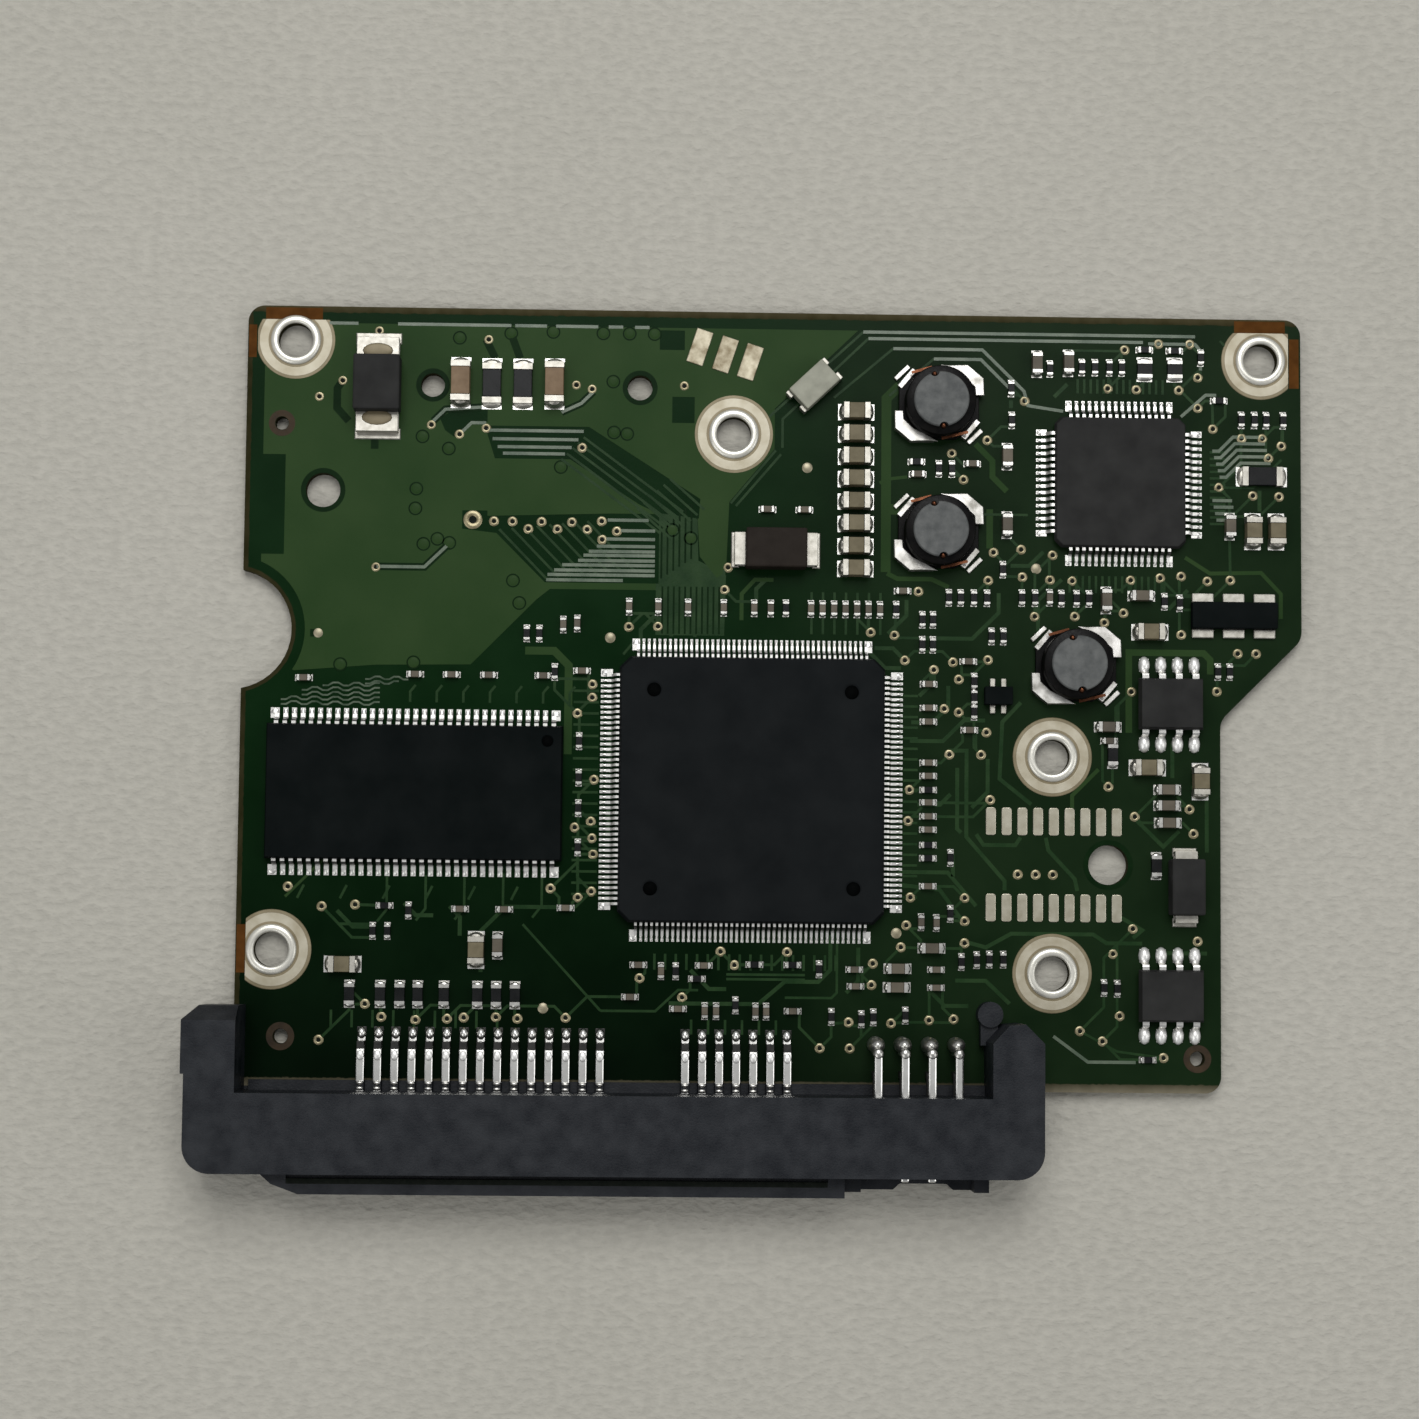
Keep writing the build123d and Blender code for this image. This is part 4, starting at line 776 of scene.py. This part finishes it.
def dress_chips():
    controller = moulded_chip("controller", "mould", 0.8, 0.16,
                              [(27.95, 19.75), (42.8, 19.7), (27.8, 4.85), (43.0, 4.95)], 0.66)
    leads_and_pads("controller", controller, 0.19, 0.24, 0.42, 0.6)
    memory = moulded_chip("memory", "mould_dark", 0.02, 0.12, [(20.0, 15.8)], 0.5)
    leads_and_pads("memory", memory, 0.32, 0.40, 0.42, 0.7)
    motor = moulded_chip("motor_driver", "mould_grey", 0.5, 0.13)
    leads_and_pads("motor_driver", motor, 0.24, 0.28, 0.34, 0.5)
    for name in ("upper", "lower"):
        body = moulded_chip(name + "_switch_chip", "mould_grey", 0.02, 0.16)
        leads_and_pads(name + "_switch_chip", body, 0.5, 0.74, 0.5, 0.74, heap=0.46)


# ---------------------------------------------------------------- two-ended chips
def add_chip(body, metal, pads, centre, size, end, blob):
    """One chip with caps as long as end, and a fillet of solder that reaches out by blob at each end."""
    cx, cy, _ = centre
    upright = size[1] > size[0]
    length, width = (size[1], size[0]) if upright else (size[0], size[1])
    turn = 90 if upright else 0
    high = TOP + size[2]
    ux, uy = (0, 1) if upright else (1, 0)
    add_box(body, cx, cy, length - 2 * end + 0.02, width * 0.95, TOP, high - 0.012, turn, 0.02)
    for sign in (-1, 1):
        at = sign * (length / 2 - end / 2)
        add_box(metal, cx + ux * at, cy + uy * at, end, width, TOP, high, turn, 0.03)
        out = sign * (length / 2 - 0.03)
        add_dome(metal, cx + ux * out, cy + uy * out, blob, width * 0.53, TOP + 0.01, size[2] * 0.72,
                 turn if sign > 0 else turn + 180, 8, 3, True)
        far = sign * (length / 2 + blob * 0.4)
        add_box(pads, cx + ux * far, cy + uy * far, blob * 1.3, width * 1.02, TOP, TOP + 0.035, turn, 0.02)


def small_chip_family(name, node, material):
    body, metal, pads = (bmesh.new() for _ in range(3))
    for centre, size in islands(node):
        end, blob = (0.22, 0.17) if max(size[:2]) < SMALL_CHIP else (0.32, 0.25)
        add_chip(body, metal, pads, centre, size, end, blob)
    piece(name + "_bodies_shaped", body, material, [node])
    piece(name + "_caps", metal, "cap_tin")
    piece(name + "_pads", pads, "cap_tin")


def capped_family(name, material, end, blob):
    """Chips whose ends are solids of their own in the CAD."""
    body, metal, pads = (bmesh.new() for _ in range(3))
    ends = islands(name + "_ends")
    for centre, _ in islands(name + "_bodies"):
        (one, cap), (two, _) = sorted(ends, key=lambda e: math.dist(e[0][:2], centre[:2]))[:2]
        long, wide = math.dist(one[:2], two[:2]) + min(cap[:2]), max(cap[:2])
        upright = abs(one[1] - two[1]) > abs(one[0] - two[0])
        whole = (wide, long, cap[2]) if upright else (long, wide, cap[2])
        add_chip(body, metal, pads, centre, whole, end, blob)
    piece(name + "_bodies_shaped", body, material, [name + "_bodies"], 0.04)
    piece(name + "_caps", metal, "plate_tin", [name + "_ends"])
    piece(name + "_pads", pads, "lead_tin")


def dress_small_chips():
    small_chip_family("small_resistor", "small_resistors", "resistor")
    small_chip_family("small_capacitor", "small_capacitors", "brown_grey")
    for name, material, end, blob in (("bulk_capacitor", "ceramic_grey", 0.45, 0.35),
                                      ("corner_capacitor", "tan", 0.5, 0.4),
                                      ("corner_resistor", "resistor", 0.5, 0.4),
                                      ("sense_resistor", "resistor", 0.5, 0.4),
                                      ("chip_capacitor", "ceramic_grey", 0.45, 0.38)):
        capped_family(name, material, end, blob)


# ---------------------------------------------------------------- wound inductors
def dress_inductor(name):
    (cx, cy, _), _ = node_box(name + "_inductor_core")
    name += "_inductor"
    foot, top, turns = TOP + 0.1, TOP + 2.9, 9
    core, flange, cutter, wire, ends, clips = (bmesh.new() for _ in range(6))

    def around(points, flip=1):
        return [(cx + flip * x, cy + flip * y) for x, y in points]

    add_prism(core, around([(-3.05, -1.3), (-1.3, -2.7), (1.3, -2.7), (3.05, -1.3), (3.05, 1.3), (1.3, 2.7),
                            (-1.3, 2.7), (-3.05, 1.3)]), foot, foot + 0.5)
    piece(name + "_foot", core, "varnish", bevel_mm=0.05)
    add_lathe(flange, cx, cy, [(0, top - 0.5), (1.95, top - 0.5), (2.08, top - 0.4), (2.08, top - 0.08),
                               (2.0, top), (0, top)], 48)
    obj = piece(name + "_flange", flange, "ferrite", [name + "_core"])
    for angle in WIRE_ANGLES:
        add_lathe(cutter, *turned(cx, cy, angle, 2.12, 0),
                  [(0, top - 1), (0.36, top - 1), (0.36, top + 0.2), (0, top + 0.2)], 20)
    carve(obj, cutter)
    section = [(1.5, foot + 0.5)]
    for i in range(turns):
        z = foot + 0.5 + 1.8 * (i + 0.5) / turns
        for a in (math.radians(-70 + 35 * k) for k in range(5)):
            section.append((2.52 + 0.13 * math.cos(a), z + 0.1 * math.sin(a)))
    section.append((1.5, foot + 2.3))
    add_lathe(wire, cx, cy, section, 48)
    piece(name + "_turns", wire, "varnish", [name + "_winding"], smooth=True)
    for angle, flip in zip(WIRE_ANGLES, (1, -1)):
        start = turned(cx, cy, angle, 1.98, 0)
        add_dome(ends, *start, 0.26, 0.22, top - 0.52, 0.34, angle, 10, 4)
        add_strip(ends, [start, turned(cx, cy, angle, 2.75, 0), *around([(-2.15, 2.25)], flip)], 0.2,
                  TOP + 1.15, TOP + 1.32)
    piece(name + "_wire_ends", ends, "copper")
    for flip in (1, -1):
        corner = [(0.05, 2.95), (0.75, 2.9), (2.15, 2.95), (3.35, 1.95), (3.4, 0.62), (2.75, 0.62),
                  (2.7, 1.25), (1.95, 1.95), (1.1, 2.35)]
        wall = [(0.3, 2.9), (2.15, 2.95), (3.35, 1.95), (3.35, 0.7), (3.15, 0.7), (3.15, 1.85), (2.1, 2.75),
                (0.3, 2.75)]
        add_prism(clips, around(corner, flip), TOP + 0.75, TOP + 0.98)
        add_prism(clips, around(wall, flip), TOP, TOP + 0.8)
        for shift, width, high in ((0.0, 0.42, 0.62), (0.55, 0.34, 0.3)):
            line = [(-1.85 - shift * 0.75, 2.6 + shift * 0.6), (-3.0 - shift * 0.55, 1.25 + shift * 1.2)]
            add_strip(clips, around(line, flip), width, TOP, TOP + high)
    piece(name + "_clips", clips, "clip_tin", [name + "_terminals"], 0.05)


# ---------------------------------------------------------------- larger parts, pads and connector
def dress_diodes():
    solder, arcs = bmesh.new(), bmesh.new()
    for name, finish, reach in (("surge_diode", "mould_grey", 0.5), ("blocking_diode", "brown", 0.25),
                                ("rectifier", "mould_grey", 0.3)):
        bevelled_copy(name + "_body", finish, 0.14)
        bevelled_copy(name + "_terminals", "plate_tin", 0.05)
        body, _ = node_box(name + "_body")
        for centre, size in islands(name + "_terminals"):
            out = 0 if abs(centre[0] - body[0]) > abs(centre[1] - body[1]) else 1
            sign = 1 if centre[out] > body[out] else -1
            place, spread = list(centre[:2]), [size[0] * 1.1, size[1] * 1.1]
            place[out] += sign * (size[out] / 2 + reach / 2 - 0.2)
            spread[out] = reach + 0.4
            add_box(solder, *place, *spread, TOP, TOP + 0.1, 0, 0.08)
    piece("diode_solder", solder, "plate_tin", bevel_mm=0.03)
    high = node_box("surge_diode_terminals")[1][2] + TOP
    # painted shade: a darker dome on each terminal's top, so that its edge reads as bright arcs
    for (cx, cy, _), size in islands("surge_diode_terminals"):
        add_dome(arcs, cx, cy, size[0] * 0.36, size[1] * 0.28, high, 0.08, 0, 16, 4)
    piece("surge_diode_arcs", arcs, "border_tin", smooth=True)
    for node, finish, rounding in (("shock_sensor_body", "sensor", 0.1),
                                   ("shock_sensor_terminals", "plate_tin", 0.05),
                                   ("power_array_body", "mould_dark", 0.08),
                                   ("power_array_leads", "plate_tin", 0.08),
                                   ("small_switch_body", "mould_dark", 0.06),
                                   ("small_switch_leads", "plate_tin", 0.06)):
        bevelled_copy(node, finish, rounding)


def dress_pads():
    lands, borders, rings = bmesh.new(), bmesh.new(), bmesh.new()
    for x, y, r in HOLES[:6]:
        # each section as (radius, height above the board)
        for bm, section in ((lands, [(1.86, 0), (2.78, 0), (2.74, 0.042), (2.1, 0.046), (1.86, 0.012)]),
                            (borders, [(2.76, 0), (3.0, 0), (2.96, 0.030), (2.76, 0.036)]),
                            # the dark ring round each lip is painted shade; the outer border is tarnish
                            (borders, [(1.88, 0), (2.10, 0), (2.08, 0.049), (1.88, 0.052)]),
                            (rings, [(r, 0), (1.9, 0), (1.9, 0.10), (1.8, 0.19), (1.66, 0.23), (1.46, 0.235),
                                     (1.36, 0.20), (r, 0.10)])):
            add_lathe(bm, x, y, [(far, TOP + high) for far, high in section], 56, True)
    lands = piece("mounting_hole_lands_flat", lands, "land_tin", ["mounting_hole_lands"])
    borders = piece("mounting_hole_borders", borders, "border_tin")
    left, far, right = LAND_LIMITS
    for x0, y0, x1, y1 in ((-9, -9, left, 60), (-9, far, 90, 60), (right, -9, 90, 60)):
        for obj in (lands, borders):
            cutter = bmesh.new()
            add_prism(cutter, [(x0, y0), (x1, y0), (x1, y1), (x0, y1)], TOP - 1, TOP + 1)
            carve(obj, cutter)
    piece("mounting_hole_lips", rings, "ring_tin", smooth=True)
    pads = bmesh.new()
    for (cx, cy, _), size in islands("head_contact_pads"):
        add_pill(pads, cx, cy, 0.76, size[1], TOP, TOP + 0.1, 0.2)
    piece("head_contact_pads_shaped", pads, "head_tin", ["head_contact_pads"], 0.06)
    bevelled_copy("motor_contact_pads", "contact_pad", 0.05)


def dress_contacts():
    bodies, bumps, solder, knuckles, knees = (bmesh.new() for _ in range(5))
    low = TOP + 0.95        # underside of the blades
    for node in ("power_contacts", "signal_contacts"):
        blades = bmesh.new()
        for (cx, cy, _), size in islands(node):
            front, foot = cy - size[1] / 2, cy + size[1] / 2
            add_profile(blades, (cx, 0), 0, 0.6, [
                (front, low), (foot - 1.5, low), (foot - 1.62, TOP + 0.3), (foot - 1.45, TOP), (foot, TOP),
                (foot, TOP + 0.16), (foot - 1.1, TOP + 0.24), (foot - 1.16, low + 0.05),
                (foot - 1.32, low + 0.22), (foot - 1.6, low + 0.25), (front, low + 0.25)])
            add_dome(solder, cx, foot - 0.30, 0.5, 0.36, TOP + 0.01, 0.42, 90, 16, 5)
            # painted highlight: a bright solder dome on each blade's bend
            add_dome(knees, cx, foot - 1.92, 0.40, 0.28, low + 0.23, 0.12, 90, 14, 4)
            # painted shade: dark patches round each solder blob and over each blade's bend
            add_box(knuckles, cx, foot - 0.15, 0.74, 0.7, TOP, TOP + 0.05, 0, 0.03)
            add_box(knuckles, cx, foot - 1.16, 0.62, 0.66, TOP + 0.2, low + 0.27, 0, 0.04)
            add_box(bodies, cx, SHELF_EDGE - 0.37, 0.7, 0.78, TOP + 0.5, low + 0.29, 0, 0.06)
            for out in (0.16, 0.56):
                add_dome(bumps, cx, SHELF_EDGE - out, 0.3, 0.17, low + 0.28, 0.14)
        piece(node + "_shaped", blades, "tin", [node], 0.1)
    pins, low_pins, ends = (bmesh.new() for _ in range(3))
    for (cx, cy, _), size in islands("jumper_pins"):
        front, back, high = cy - size[1] / 2, cy + size[1] / 2, TOP + size[2]
        tall = size[2] > TALL_PIN
        add_profile(pins if tall else low_pins, (cx, 0), 0, 0.6 if tall else 0.5, [
            (front, high - 0.5), (back - 0.5, high - 0.5), (back - 0.5, TOP), (back, TOP),
            (back, high - 0.3), (back - 0.1, high - 0.09), (back - 0.3, high), (front, high)])
        if tall:
            add_dome(ends, cx, back - 0.33, 0.42, 0.37, high - 0.12, 0.22, 90, 16, 5)
            add_lathe(ends, cx, back - 0.33, [(0, high - 0.8), (0.37, high - 0.7), (0.37, high - 0.11),
                                              (0, high - 0.11)], 16)
            cone = [(0, 0), (0.62, 0.01), (0.60, 1.8), (0.54, 2.2), (0.40, 2.5), (0.2, 2.7), (0, 2.75)]
            add_lathe(ends, cx, back + 0.28, [(r, TOP + h) for r, h in cone], 20)
    piece("jumper_pins_shaped", pins, "tin", ["jumper_pins"], 0.12)
    # painted shade: the lower jumper pins are dark
    piece("jumper_pins_low", low_pins, "painted_metal_shade")
    piece("jumper_pin_ends", ends, "cap_tin", smooth=True)
    piece("contact_stops", bodies, "plastic")
    piece("contact_knees", knees, "solder", smooth=True)
    piece("contact_stop_bumps", bumps, "cap_tin", smooth=True)
    piece("contact_knuckles", knuckles, "painted_metal_shade", bevel_mm=0.05)
    piece("connector_solder", solder, "tin", smooth=True)
    bevelled_copy("connector_housing", "plastic", 0.09, 3)
    # painted shadow: a black strip on the ledge where the slab's front edge casts its shade
    slot = bmesh.new()
    x0, x1, y0, y1 = LEDGE_SLOT
    add_box(slot, (x0 + x1) / 2, (y0 + y1) / 2, x1 - x0, y1 - y0, LEDGE_TOP - 0.06, LEDGE_TOP + 0.012)
    piece("ledge_slot_shade", slot, "painted_deep_shade")


# ---------------------------------------------------------------- stage, light and camera
def stage():
    bpy.ops.mesh.primitive_plane_add(size=3.0, location=(0.03, 0.02, -0.00002))
    floor = bpy.context.object
    floor.name = "floor"
    n = Nodes("table_top")
    pebble = n.noise(0.55, 2.0, (0.6, 1.0, 1.0))
    colour = n.mix(n.spread(n.noise(40.0), 0.3, 0.7), (0.400, 0.385, 0.335), (0.425, 0.408, 0.358))
    shade = n.spread(pebble, 0.35, 0.65, 0.94, 1.06)
    n.shade({"Roughness": 0.7, "Specular IOR Level": 0.2,
             "Base Color": n.add("VectorMath", {0: colour, "Scale": shade}, operation="SCALE")[0]})
    n.bump(pebble, 0.22)
    floor.data.materials.append(n.material)
    world = bpy.data.worlds.new("studio")
    bpy.context.scene.world = world
    world.use_nodes = True
    world.node_tree.nodes["Background"].inputs["Color"].default_value = (0.95, 0.97, 1.0, 1)
    world.node_tree.nodes["Background"].inputs["Strength"].default_value = 0.33
    centre = Vector((0.035, 0.018, 0.0))
    for name, place, size, power in (("key", (0.03, 0.32, 0.56), 0.36, 2.5),
                                     ("fill", (-0.28, -0.22, 0.42), 0.35, 0.6),
                                     ("side", (0.42, -0.05, 0.36), 0.25, 0.35)):
        data = bpy.data.lights.new(name, "AREA")
        data.shape, data.size, data.energy = "SQUARE", size, power
        lamp = bpy.data.objects.new(name, data)
        lamp.location = place
        lamp.rotation_mode = "QUATERNION"
        lamp.rotation_quaternion = (centre - Vector(place)).to_track_quat("-Z", "Y")
        bpy.context.scene.collection.objects.link(lamp)


def camera():
    """Almost straight above the board, as in the photo.

    Its place and tilt were fitted to the board's edges and the chips' known sizes; the lens was assumed.
    """
    eye, aim, roll = Vector((26.86, 0.54, 234.15)) * MM, Vector((32.6, 18.35, 1.0)) * MM, 0.0116
    back = (eye - aim).normalized()
    right = Vector((math.cos(roll), math.sin(roll), 0.0))
    right = (right - back * right.dot(back)).normalized()
    up = back.cross(right)
    data = bpy.data.cameras.new("camera")
    data.lens, data.sensor_width = 78.65, 36.0
    data.clip_start, data.clip_end = 0.01, 10.0
    cam = bpy.data.objects.new("camera", data)
    cam.matrix_world = Matrix((right, up, back)).transposed().to_4x4()
    cam.location = eye
    bpy.context.scene.collection.objects.link(cam)
    bpy.context.scene.camera = cam


dress_board()
dress_vias()
dress_chips()
dress_small_chips()
for inductor in ("upper", "middle", "lower"):
    dress_inductor(inductor)
dress_diodes()
dress_pads()
dress_contacts()
stage()
bpy.context.scene.view_settings.view_transform = "Standard"
camera()
